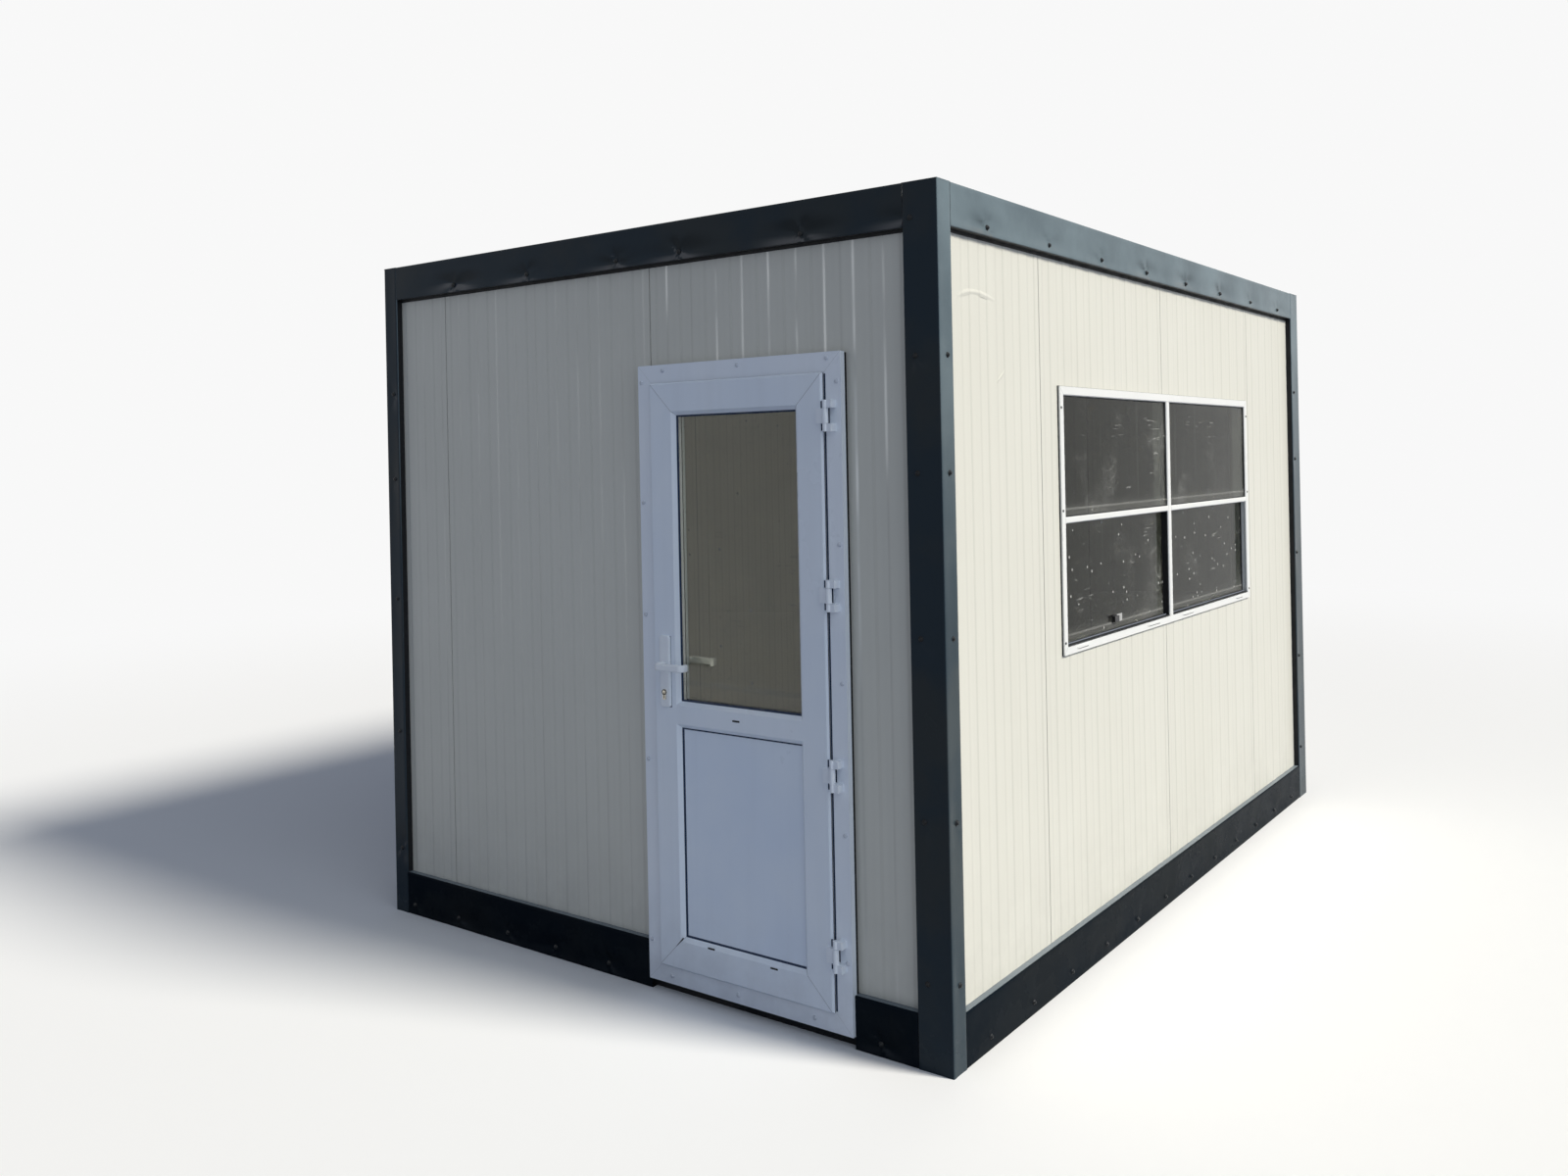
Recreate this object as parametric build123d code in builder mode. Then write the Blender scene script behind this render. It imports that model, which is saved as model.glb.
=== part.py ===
"""Small site cabin of recessed ribbed sandwich panels in a dark bent-sheet frame, with a door and a window.

The front, with the door, faces -Y and the window is in the +X wall.
The origin lies on the ground in the middle of the plan, with +Z up.
Every side is drawn in its own plane: x runs along the side, seen from outside from left to right,
and y runs inwards from the outer face of the dark trims.
"""
import os

from build123d import *

# Overall sizes
cabin_width = 2380
cabin_depth = 3340
cabin_height = 2372
cut_overrun = 30

# Wall panels
panel_module = 1000
panel_least = 60
wall_thickness = 50
front_first_joint = 320
joint_gap = 2
ribs_per_panel = 10
rib_width = 50
rib_slope = 6
rib_depth = 1

# Dark bent-sheet trims
trim_sheet = 2
trim_stand_off = 24
trim_bend = 4
post_long_leg = 110
post_short_leg = 70
fascia_height = 120
skirt_height = 150

# Base and floor
chassis_height = 60
chassis_width = 60
tube_wall = 3
joist_width = 40
joist_count = 5
deck_thickness = 20

# Roof panels
roof_thickness = 40
roof_rib_height = 28
roof_rib_top = 26
roof_rib_foot = 62
roof_ribs_per_panel = 4

# Door frame
door_width = 770
door_corner_gap = 314
door_head_gap = 316
door_proud = 10
door_flange = 12
door_frame_face = 65
door_frame_lap = 24
door_frame_inner = 80
door_rebate = 38

# Door leaf
leaf_lap = 8
leaf_lap_gap = 5
leaf_edge = 5
leaf_gap = 7
leaf_inner_gap = 8
leaf_seat_gap = 6
leaf_proud = 13
leaf_depth = 70
leaf_face = 100
mid_rail_height = 80
mid_rail_level = 870
leaf_bevel = 12
leaf_lip = 16
leaf_pocket = 14
leaf_pane = 24
pane_edge_gap = 2

# Hinges
hinge_count = 4
hinge_top_drop = 122
hinge_bottom_rise = 167
hinge_height = 88
hinge_middle = 42
hinge_end_gap = 1
hinge_pin_radius = 4
hinge_pin_gap = 0.3
hinge_frame_radius = 8
hinge_leaf_radius = 9
hinge_axis_gap = 18
hinge_axis_proud = 9
hinge_foot = 22
hinge_foot_start = 4
hinge_arm = 32

# Door handle and lock
handle_inset = 51
handle_level = 1020
handle_plate_width = 38
handle_plate_height = 217
handle_plate_depth = 10
handle_plate_level = 1000
handle_plate_corner = 8
handle_plate_round = 3
lever_length = 106
lever_reach = 40
lever_return = 22
lever_bend = 14
lever_bar = 12
lever_height = 22
lever_round = 5
lever_neck_radius = 9
lever_stand_off = 5
lever_gap = 0.5
spindle_side = 8
spindle_bore_radius = 7
lock_drop = 83
lock_radius = 8.5
lock_tail = 22
lock_tail_width = 10
lock_proud = 3
lock_gap = 0.2

# Window
window_end_gap = 750
window_height = 842
window_head_gap = 402
window_front_strip = 117
window_back_strip = 43
window_proud = 9
window_face = 28
window_lap = 14
window_bevel = 3
window_front_track = 8
window_back_track = 26
window_pocket = 6
window_pane = 8
window_pane_gap = 1
mullion_width = 30
transom_height = 20
latch_length = 80
latch_height = 26
latch_rise = 24
latch_plate_depth = 4
latch_grip_length = 36
latch_grip_height = 20
latch_grip_depth = 13

# Levels and lines that follow from the sizes above
wall_inner = trim_stand_off + wall_thickness
front_end = cabin_width - wall_inner
side_end = cabin_depth - wall_inner
rib_pitch = panel_module / ribs_per_panel
rib_margin = rib_width / 2 + rib_slope
rib_floor = rib_width / 2 - rib_slope
rib_groove = [(-rib_width / 2, 0), (rib_width / 2, 0), (rib_floor, rib_depth), (-rib_floor, rib_depth)]
roof_rib_pitch = panel_module / roof_ribs_per_panel
roof_crown = cabin_height - trim_sheet
roof_pan = roof_crown - roof_rib_height
wall_top = roof_pan - roof_thickness
wall_height = wall_top - chassis_height
fascia_cap = post_short_leg
door_right = cabin_width - door_corner_gap
door_left = door_right - door_width
door_bottom = chassis_height - door_frame_lap
door_top = cabin_height - fascia_height - door_head_gap
opening_left = door_left + door_frame_lap
opening_right = door_right - door_frame_lap
opening_top = door_top - door_frame_lap
leaf_margin = door_frame_face - leaf_lap
leaf_left = door_left + leaf_margin
leaf_right = door_right - leaf_margin
leaf_bottom = door_bottom + leaf_margin
leaf_top = door_top - leaf_margin
leaf_front = -door_proud - leaf_proud
leaf_back = leaf_front + leaf_depth
leaf_lap_back = leaf_proud - leaf_lap_gap
leaf_shoulder = leaf_lap + leaf_gap
leaf_seat = leaf_proud + door_rebate - leaf_seat_gap
leaf_step = door_frame_inner + leaf_inner_gap - leaf_margin
hinge_along = leaf_right + hinge_axis_gap
hinge_inward = leaf_front - hinge_axis_proud
hinge_run = leaf_top - hinge_top_drop - leaf_bottom - hinge_bottom_rise
hinge_spacing = hinge_run / (hinge_count - 1)
hinge_levels = [leaf_top - hinge_top_drop - index * hinge_spacing for index in range(hinge_count)]
handle_along = leaf_left + handle_inset
lock_level = handle_level - lock_drop
window_left = window_end_gap
window_right = cabin_depth - window_end_gap
window_width = window_right - window_left
window_top = cabin_height - fascia_height - window_head_gap
window_sill_level = window_top - window_height
side_first_joint = window_left - window_front_strip
side_last_joint = window_right + window_back_strip
side_middle_joint = (side_first_joint + side_last_joint) / 2
window_front = trim_stand_off - window_proud
window_depth = window_proud + wall_thickness

# The four sides, each starting at the corner on its left as seen from outside
front_side = Plane(origin=(-cabin_width / 2, -cabin_depth / 2, 0), x_dir=(1, 0, 0), z_dir=(0, 0, 1))
right_side = Plane(origin=(cabin_width / 2, -cabin_depth / 2, 0), x_dir=(0, 1, 0), z_dir=(0, 0, 1))
back_side = Plane(origin=(cabin_width / 2, cabin_depth / 2, 0), x_dir=(-1, 0, 0), z_dir=(0, 0, 1))
left_side = Plane(origin=(-cabin_width / 2, cabin_depth / 2, 0), x_dir=(0, -1, 0), z_dir=(0, 0, 1))

os.makedirs("parts", exist_ok=True)


def section_of(side, along, inward=0, level=0):
    """Upright plane across a side: x runs inwards, y runs up and the normal follows the side."""
    return Plane(origin=side.from_local_coords((along, inward, level)), x_dir=side.y_dir, z_dir=side.x_dir)


def face_of(side, inward):
    """Upright plane along a side: x follows the side, y runs up and the normal points outwards."""
    return Plane(origin=side.from_local_coords((0, inward, 0)), x_dir=side.x_dir, z_dir=-side.y_dir)


def plan_of(side, along, inward, level):
    """Level plane at a place on a side: x follows the side, y runs inwards and the normal points up."""
    return Plane(origin=side.from_local_coords((along, inward, level)), x_dir=side.x_dir, z_dir=side.z_dir)


def panel_joints(first_joint, end):
    """Joints one panel apart, from the first one on, that leave no sliver of a panel at the end."""
    joints = [first_joint]
    while joints[-1] + panel_module < end - panel_least:
        joints.append(joints[-1] + panel_module)
    return joints


def panel_spans(joints, end):
    """Start and end of each panel between the joints."""
    starts = [trim_stand_off] + [joint + joint_gap / 2 for joint in joints]
    ends = [joint - joint_gap / 2 for joint in joints] + [end]
    return list(zip(starts, ends))


def even_places(span, first_joint, pitch, margin):
    """Places at an even pitch across a panel, half a pitch off its first joint and clear of its edges."""
    start, end = span
    lowest = int((start - first_joint) / pitch) - 1
    highest = int((end - first_joint) / pitch) + 1
    places = [first_joint + (step + 1 / 2) * pitch for step in range(lowest, highest + 1)]
    return [place for place in places if start + margin < place < end - margin]


def rib_spots(span, first_joint):
    """Middle of each groove on a panel's outer face."""
    return [(place, trim_stand_off) for place in even_places(span, first_joint, rib_pitch, rib_margin)]


def frame_outline(side, left, right, bottom, top, width, where):
    """Mitred face-on outline of one member of a four-sided frame."""
    corners = {
        "left": [(left, bottom), (left + width, bottom + width), (left + width, top - width), (left, top)],
        "right": [
            (right, bottom),
            (right, top),
            (right - width, top - width),
            (right - width, bottom + width),
        ],
        "top": [(left, top), (left + width, top - width), (right - width, top - width), (right, top)],
        "bottom": [
            (left, bottom),
            (right, bottom),
            (right - width, bottom + width),
            (left + width, bottom + width),
        ],
    }
    with BuildSketch(face_of(side, 0)) as outline:
        with BuildLine():
            Polyline(*corners[where], close=True)
        make_face()
    return outline.sketch


def frame_member(side, left, right, bottom, top, width, front, profile, where):
    """One mitred member: its profile, as steps across and steps inwards, drawn out and cut to the mitres."""
    upright = where in ("left", "right")
    edge = {"left": left, "right": right, "top": top, "bottom": bottom}[where]
    turn = 1 if where in ("left", "bottom") else -1
    with BuildPart() as member:
        with BuildSketch(side.offset(bottom) if upright else section_of(side, left)):
            with BuildLine():
                if upright:
                    Polyline(*[(edge + turn * across, front + inward) for across, inward in profile], close=True)
                else:
                    Polyline(*[(front + inward, edge + turn * across) for across, inward in profile], close=True)
            make_face()
        extrude(amount=top - bottom if upright else right - left)
        extrude(
            frame_outline(side, left, right, bottom, top, width, where),
            amount=wall_inner + cut_overrun,
            both=True,
            mode=Mode.INTERSECT,
        )
    return member.part


# Panels of the four walls. Each wall runs past the corner on its left and stops at the next wall.
# The front has a joint beside the doorway and the right wall has joints on both sides of the window.
front_spans = panel_spans([front_first_joint, opening_left], front_end)
right_spans = panel_spans([side_first_joint, side_middle_joint, side_last_joint], side_end)
back_spans = panel_spans(panel_joints(front_first_joint, front_end), front_end)
left_spans = panel_spans(panel_joints(side_first_joint, side_end), side_end)

# Corner posts: an angle of bent sheet with a return on each leg that stands on the panel.
# The long leg covers the end of the wall that runs past the corner.
post_path = [
    (post_short_leg, trim_stand_off),
    (post_short_leg, 0),
    (0, 0),
    (0, post_long_leg),
    (trim_stand_off, post_long_leg),
]

with BuildPart() as corner_post_front_right:
    with BuildSketch(right_side):
        with BuildLine():
            FilletPolyline(*post_path, radius=trim_bend)
            offset(amount=trim_sheet, side=Side.RIGHT)
        make_face()
    extrude(amount=roof_crown)
corner_post_front_right.part.label = "corner_post_front_right"
export_step(corner_post_front_right.part, "parts/corner_post_front_right.step")

with BuildPart() as corner_post_front_left:
    with BuildSketch(front_side):
        with BuildLine():
            FilletPolyline(*post_path, radius=trim_bend)
            offset(amount=trim_sheet, side=Side.RIGHT)
        make_face()
    extrude(amount=roof_crown)
corner_post_front_left.part.label = "corner_post_front_left"
export_step(corner_post_front_left.part, "parts/corner_post_front_left.step")

with BuildPart() as corner_post_back_left:
    with BuildSketch(left_side):
        with BuildLine():
            FilletPolyline(*post_path, radius=trim_bend)
            offset(amount=trim_sheet, side=Side.RIGHT)
        make_face()
    extrude(amount=roof_crown)
corner_post_back_left.part.label = "corner_post_back_left"
export_step(corner_post_back_left.part, "parts/corner_post_back_left.step")

with BuildPart() as corner_post_back_right:
    with BuildSketch(back_side):
        with BuildLine():
            FilletPolyline(*post_path, radius=trim_bend)
            offset(amount=trim_sheet, side=Side.RIGHT)
        make_face()
    extrude(amount=roof_crown)
corner_post_back_right.part.label = "corner_post_back_right"
export_step(corner_post_back_right.part, "parts/corner_post_back_right.step")

# Fascias under the roof: a bottom return, a face and a cap over the roof's edge.
# The caps of the front and the back run across the corner posts.
fascia_path = [
    (trim_stand_off, cabin_height - fascia_height),
    (0, cabin_height - fascia_height),
    (0, cabin_height),
    (fascia_cap, cabin_height),
]

with BuildPart() as front_fascia:
    with BuildSketch(section_of(front_side, post_short_leg)):
        with BuildLine():
            FilletPolyline(*fascia_path, radius=trim_bend)
            offset(amount=trim_sheet, side=Side.RIGHT)
        make_face()
    extrude(amount=cabin_width - post_short_leg - post_long_leg)
    with BuildSketch(front_side.offset(roof_crown)):
        Rectangle(post_short_leg, fascia_cap, align=(Align.MIN, Align.MIN))
        with Locations((cabin_width, 0)):
            Rectangle(post_long_leg, fascia_cap, align=(Align.MAX, Align.MIN))
    extrude(amount=trim_sheet)
front_fascia.part.label = "front_fascia"
export_step(front_fascia.part, "parts/front_fascia.step")

with BuildPart() as back_fascia:
    with BuildSketch(section_of(back_side, post_short_leg)):
        with BuildLine():
            FilletPolyline(*fascia_path, radius=trim_bend)
            offset(amount=trim_sheet, side=Side.RIGHT)
        make_face()
    extrude(amount=cabin_width - post_short_leg - post_long_leg)
    with BuildSketch(back_side.offset(roof_crown)):
        Rectangle(post_short_leg, fascia_cap, align=(Align.MIN, Align.MIN))
        with Locations((cabin_width, 0)):
            Rectangle(post_long_leg, fascia_cap, align=(Align.MAX, Align.MIN))
    extrude(amount=trim_sheet)
back_fascia.part.label = "back_fascia"
export_step(back_fascia.part, "parts/back_fascia.step")

with BuildPart() as right_fascia:
    with BuildSketch(section_of(right_side, post_short_leg)):
        with BuildLine():
            FilletPolyline(*fascia_path, radius=trim_bend)
            offset(amount=trim_sheet, side=Side.RIGHT)
        make_face()
    extrude(amount=cabin_depth - post_short_leg - post_long_leg)
    with BuildSketch(right_side.offset(roof_crown)):
        with Locations((cabin_depth - fascia_cap, 0)):
            Rectangle(post_long_leg - fascia_cap, fascia_cap, align=(Align.MAX, Align.MIN))
    extrude(amount=trim_sheet)
right_fascia.part.label = "right_fascia"
export_step(right_fascia.part, "parts/right_fascia.step")

with BuildPart() as left_fascia:
    with BuildSketch(section_of(left_side, post_short_leg)):
        with BuildLine():
            FilletPolyline(*fascia_path, radius=trim_bend)
            offset(amount=trim_sheet, side=Side.RIGHT)
        make_face()
    extrude(amount=cabin_depth - post_short_leg - post_long_leg)
    with BuildSketch(left_side.offset(roof_crown)):
        with Locations((cabin_depth - fascia_cap, 0)):
            Rectangle(post_long_leg - fascia_cap, fascia_cap, align=(Align.MAX, Align.MIN))
    extrude(amount=trim_sheet)
left_fascia.part.label = "left_fascia"
export_step(left_fascia.part, "parts/left_fascia.step")

# Skirts over the base: a ledge, a face and a bottom return. The front one stops on both sides of the door.
skirt_path = [
    (trim_stand_off, 0),
    (0, 0),
    (0, skirt_height),
    (trim_stand_off, skirt_height),
]

with BuildPart() as front_skirts:
    for start, end in [(post_short_leg, door_left), (door_right, cabin_width - post_long_leg)]:
        with BuildSketch(section_of(front_side, start)):
            with BuildLine():
                FilletPolyline(*skirt_path, radius=trim_bend)
                offset(amount=trim_sheet, side=Side.RIGHT)
            make_face()
        extrude(amount=end - start)
front_skirts.part.label = "front_skirts"
export_step(front_skirts.part, "parts/front_skirts.step")

with BuildPart() as right_skirt:
    with BuildSketch(section_of(right_side, post_short_leg)):
        with BuildLine():
            FilletPolyline(*skirt_path, radius=trim_bend)
            offset(amount=trim_sheet, side=Side.RIGHT)
        make_face()
    extrude(amount=cabin_depth - post_short_leg - post_long_leg)
right_skirt.part.label = "right_skirt"
export_step(right_skirt.part, "parts/right_skirt.step")

with BuildPart() as back_skirt:
    with BuildSketch(section_of(back_side, post_short_leg)):
        with BuildLine():
            FilletPolyline(*skirt_path, radius=trim_bend)
            offset(amount=trim_sheet, side=Side.RIGHT)
        make_face()
    extrude(amount=cabin_width - post_short_leg - post_long_leg)
back_skirt.part.label = "back_skirt"
export_step(back_skirt.part, "parts/back_skirt.step")

with BuildPart() as left_skirt:
    with BuildSketch(section_of(left_side, post_short_leg)):
        with BuildLine():
            FilletPolyline(*skirt_path, radius=trim_bend)
            offset(amount=trim_sheet, side=Side.RIGHT)
        make_face()
    extrude(amount=cabin_depth - post_short_leg - post_long_leg)
left_skirt.part.label = "left_skirt"
export_step(left_skirt.part, "parts/left_skirt.step")

# Base: a ring of square tubes under the walls, joists across it and a floor board on them
base_width = cabin_width - 2 * trim_stand_off
base_depth = cabin_depth - 2 * trim_stand_off
bay_width = base_width - 2 * chassis_width
beam_from_middle = (base_width - chassis_width) / 2
end_from_middle = (base_depth - chassis_width) / 2
joist_spacing = base_depth / (joist_count + 1)

with BuildPart() as base_side_beams:
    with BuildSketch(Plane.XZ.offset(-base_depth / 2)):
        with Locations((-beam_from_middle, chassis_height / 2), (beam_from_middle, chassis_height / 2)):
            Rectangle(chassis_width, chassis_height)
            Rectangle(chassis_width - 2 * tube_wall, chassis_height - 2 * tube_wall, mode=Mode.SUBTRACT)
    extrude(amount=base_depth)
base_side_beams.part.label = "base_side_beams"
export_step(base_side_beams.part, "parts/base_side_beams.step")

with BuildPart() as base_end_beams:
    with BuildSketch(Plane.YZ.offset(-bay_width / 2)):
        with Locations((-end_from_middle, chassis_height / 2), (end_from_middle, chassis_height / 2)):
            Rectangle(chassis_width, chassis_height)
            Rectangle(chassis_width - 2 * tube_wall, chassis_height - 2 * tube_wall, mode=Mode.SUBTRACT)
    extrude(amount=bay_width)
base_end_beams.part.label = "base_end_beams"
export_step(base_end_beams.part, "parts/base_end_beams.step")

with BuildPart() as floor_joists:
    with BuildSketch(Plane.YZ.offset(-bay_width / 2)):
        with Locations((0, chassis_height / 2)):
            with GridLocations(joist_spacing, 0, joist_count, 1):
                Rectangle(joist_width, chassis_height)
                Rectangle(joist_width - 2 * tube_wall, chassis_height - 2 * tube_wall, mode=Mode.SUBTRACT)
    extrude(amount=bay_width)
floor_joists.part.label = "floor_joists"
export_step(floor_joists.part, "parts/floor_joists.step")

with BuildPart() as floor_board:
    with BuildSketch(Plane.XY.offset(chassis_height)):
        Rectangle(cabin_width - 2 * wall_inner, cabin_depth - 2 * wall_inner)
    extrude(amount=deck_thickness)
floor_board.part.label = "floor_board"
export_step(floor_board.part, "parts/floor_board.step")

# Front wall: ribbed panels, cut for the doorway
with BuildPart() as front_wall_left:
    with BuildSketch(front_side.offset(chassis_height)):
        with Locations((front_spans[0][0], trim_stand_off)):
            Rectangle(front_spans[0][1] - front_spans[0][0], wall_thickness, align=(Align.MIN, Align.MIN))
        with Locations(*rib_spots(front_spans[0], front_first_joint)):
            Polygon(*rib_groove, align=None, mode=Mode.SUBTRACT)
    extrude(amount=wall_height)
front_wall_left.part.label = "front_wall_left"
export_step(front_wall_left.part, "parts/front_wall_left.step")

with BuildPart() as front_wall_middle:
    with BuildSketch(front_side.offset(chassis_height)):
        with Locations((front_spans[1][0], trim_stand_off)):
            Rectangle(front_spans[1][1] - front_spans[1][0], wall_thickness, align=(Align.MIN, Align.MIN))
        with Locations(*rib_spots(front_spans[1], front_first_joint)):
            Polygon(*rib_groove, align=None, mode=Mode.SUBTRACT)
    extrude(amount=wall_height)
front_wall_middle.part.label = "front_wall_middle"
export_step(front_wall_middle.part, "parts/front_wall_middle.step")

over_door_span = (front_spans[2][0], opening_right)

with BuildPart() as front_wall_over_door:
    with BuildSketch(front_side.offset(opening_top)):
        with Locations((over_door_span[0], trim_stand_off)):
            Rectangle(over_door_span[1] - over_door_span[0], wall_thickness, align=(Align.MIN, Align.MIN))
        with Locations(*rib_spots(over_door_span, front_first_joint)):
            Polygon(*rib_groove, align=None, mode=Mode.SUBTRACT)
    extrude(amount=wall_top - opening_top)
front_wall_over_door.part.label = "front_wall_over_door"
export_step(front_wall_over_door.part, "parts/front_wall_over_door.step")

with BuildPart() as front_wall_beside_door:
    with BuildSketch(front_side.offset(chassis_height)):
        with Locations((opening_right, trim_stand_off)):
            Rectangle(front_end - opening_right, wall_thickness, align=(Align.MIN, Align.MIN))
        with Locations(*rib_spots((opening_right, front_end), front_first_joint)):
            Polygon(*rib_groove, align=None, mode=Mode.SUBTRACT)
    extrude(amount=wall_height)
front_wall_beside_door.part.label = "front_wall_beside_door"
export_step(front_wall_beside_door.part, "parts/front_wall_beside_door.step")

# Right wall: ribbed panels, the middle ones cut for the window
hole_bottom = window_sill_level + window_lap
hole_height = window_height - 2 * window_lap
hole_width = window_width - 2 * window_lap
hole_left = window_left + window_lap

with BuildPart() as right_wall_end_panels:
    with BuildSketch(right_side.offset(chassis_height)):
        for span in (right_spans[0], right_spans[-1]):
            with Locations((span[0], trim_stand_off)):
                Rectangle(span[1] - span[0], wall_thickness, align=(Align.MIN, Align.MIN))
            with Locations(*rib_spots(span, side_first_joint)):
                Polygon(*rib_groove, align=None, mode=Mode.SUBTRACT)
    extrude(amount=wall_height)
right_wall_end_panels.part.label = "right_wall_end_panels"
export_step(right_wall_end_panels.part, "parts/right_wall_end_panels.step")

with BuildPart() as right_wall_window_front:
    with BuildSketch(right_side.offset(chassis_height)):
        with Locations((right_spans[1][0], trim_stand_off)):
            Rectangle(right_spans[1][1] - right_spans[1][0], wall_thickness, align=(Align.MIN, Align.MIN))
        with Locations(*rib_spots(right_spans[1], side_first_joint)):
            Polygon(*rib_groove, align=None, mode=Mode.SUBTRACT)
    extrude(amount=wall_height)
    with BuildSketch(face_of(right_side, 0)):
        with Locations((hole_left, hole_bottom)):
            Rectangle(hole_width, hole_height, align=(Align.MIN, Align.MIN))
    extrude(amount=-(wall_inner + cut_overrun), mode=Mode.SUBTRACT)
right_wall_window_front.part.label = "right_wall_window_front"
export_step(right_wall_window_front.part, "parts/right_wall_window_front.step")

with BuildPart() as right_wall_window_back:
    with BuildSketch(right_side.offset(chassis_height)):
        with Locations((right_spans[2][0], trim_stand_off)):
            Rectangle(right_spans[2][1] - right_spans[2][0], wall_thickness, align=(Align.MIN, Align.MIN))
        with Locations(*rib_spots(right_spans[2], side_first_joint)):
            Polygon(*rib_groove, align=None, mode=Mode.SUBTRACT)
    extrude(amount=wall_height)
    with BuildSketch(face_of(right_side, 0)):
        with Locations((hole_left, hole_bottom)):
            Rectangle(hole_width, hole_height, align=(Align.MIN, Align.MIN))
    extrude(amount=-(wall_inner + cut_overrun), mode=Mode.SUBTRACT)
right_wall_window_back.part.label = "right_wall_window_back"
export_step(right_wall_window_back.part, "parts/right_wall_window_back.step")

# Back and left walls: the same ribbed panels, plain
with BuildPart() as back_wall_panels:
    with BuildSketch(back_side.offset(chassis_height)):
        for span in back_spans:
            with Locations((span[0], trim_stand_off)):
                Rectangle(span[1] - span[0], wall_thickness, align=(Align.MIN, Align.MIN))
            with Locations(*rib_spots(span, front_first_joint)):
                Polygon(*rib_groove, align=None, mode=Mode.SUBTRACT)
    extrude(amount=wall_height)
back_wall_panels.part.label = "back_wall_panels"
export_step(back_wall_panels.part, "parts/back_wall_panels.step")

with BuildPart() as left_wall_panels:
    with BuildSketch(left_side.offset(chassis_height)):
        for span in left_spans:
            with Locations((span[0], trim_stand_off)):
                Rectangle(span[1] - span[0], wall_thickness, align=(Align.MIN, Align.MIN))
            with Locations(*rib_spots(span, side_first_joint)):
                Polygon(*rib_groove, align=None, mode=Mode.SUBTRACT)
    extrude(amount=wall_height)
left_wall_panels.part.label = "left_wall_panels"
export_step(left_wall_panels.part, "parts/left_wall_panels.step")

# Roof panels with raised ribs, laid from front to back
roof_end = cabin_width - trim_stand_off
roof_spans = panel_spans(panel_joints(front_first_joint, roof_end), roof_end)

with BuildPart() as roof_panels:
    with BuildSketch(face_of(front_side, trim_stand_off)):
        for span in roof_spans:
            with Locations((span[0], wall_top)):
                Rectangle(span[1] - span[0], roof_thickness, align=(Align.MIN, Align.MIN))
            rib_middles = even_places(span, front_first_joint, roof_rib_pitch, roof_rib_foot)
            with Locations(*[(middle, roof_pan) for middle in rib_middles]):
                Polygon(
                    (-roof_rib_foot / 2, 0),
                    (roof_rib_foot / 2, 0),
                    (roof_rib_top / 2, roof_rib_height),
                    (-roof_rib_top / 2, roof_rib_height),
                    align=None,
                )
    extrude(amount=-(cabin_depth - 2 * trim_stand_off))
roof_panels.part.label = "roof_panels"
export_step(roof_panels.part, "parts/roof_panels.step")

# Door frame: a flange in front of the wall, a rebate for the leaf and a box in the opening, mitred
frame_depth = door_proud + wall_inner
door_frame_profile = [
    (0, 0),
    (door_frame_face, 0),
    (door_frame_face, door_rebate),
    (door_frame_inner, door_rebate),
    (door_frame_inner, frame_depth),
    (door_frame_lap, frame_depth),
    (door_frame_lap, door_flange),
    (0, door_flange),
]
door_frame_place = (front_side, door_left, door_right, door_bottom, door_top, door_frame_inner, -door_proud)

with BuildPart() as door_frame_jambs:
    add(frame_member(*door_frame_place, door_frame_profile, "left"))
    add(frame_member(*door_frame_place, door_frame_profile, "right"))
door_frame_jambs.part.label = "door_frame_jambs"
export_step(door_frame_jambs.part, "parts/door_frame_jambs.step")

with BuildPart() as door_frame_head:
    add(frame_member(*door_frame_place, door_frame_profile, "top"))
door_frame_head.part.label = "door_frame_head"
export_step(door_frame_head.part, "parts/door_frame_head.step")

with BuildPart() as door_frame_sill:
    add(frame_member(*door_frame_place, door_frame_profile, "bottom"))
door_frame_sill.part.label = "door_frame_sill"
export_step(door_frame_sill.part, "parts/door_frame_sill.step")

# Door leaf: stiles and rails that lap over the flange, with a pocket for the glass and the lower panel
leaf_profile = [
    (0, leaf_edge),
    (leaf_edge, 0),
    (leaf_face - leaf_bevel, 0),
    (leaf_face, leaf_bevel),
    (leaf_face, leaf_lip),
    (leaf_face - leaf_pocket, leaf_lip),
    (leaf_face - leaf_pocket, leaf_lip + leaf_pane),
    (leaf_face, leaf_lip + leaf_pane),
    (leaf_face, leaf_depth - leaf_bevel),
    (leaf_face - leaf_bevel, leaf_depth),
    (leaf_step, leaf_depth),
    (leaf_step, leaf_seat),
    (leaf_shoulder, leaf_seat),
    (leaf_shoulder, leaf_lap_back),
    (0, leaf_lap_back),
]
leaf_place = (front_side, leaf_left, leaf_right, leaf_bottom, leaf_top, leaf_face, leaf_front)

with BuildPart() as door_stiles:
    add(frame_member(*leaf_place, leaf_profile, "left"))
    add(frame_member(*leaf_place, leaf_profile, "right"))
    with BuildSketch(face_of(front_side, leaf_front)):
        with Locations((handle_along, handle_level)):
            Circle(spindle_bore_radius)
        with Locations((handle_along, lock_level)):
            Circle(lock_radius + lock_gap)
            Rectangle(lock_tail_width + 2 * lock_gap, lock_tail + lock_gap, align=(Align.CENTER, Align.MAX))
    extrude(amount=-leaf_depth, mode=Mode.SUBTRACT)
door_stiles.part.label = "door_stiles"
export_step(door_stiles.part, "parts/door_stiles.step")

# The mid rail's ends are coped over the bevels of the stiles
opening_span = leaf_right - leaf_left - 2 * leaf_face
mid_rail_from = leaf_left + leaf_face - leaf_bevel
mid_rail_length = opening_span + 2 * leaf_bevel
half_rail = mid_rail_height / 2

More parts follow.
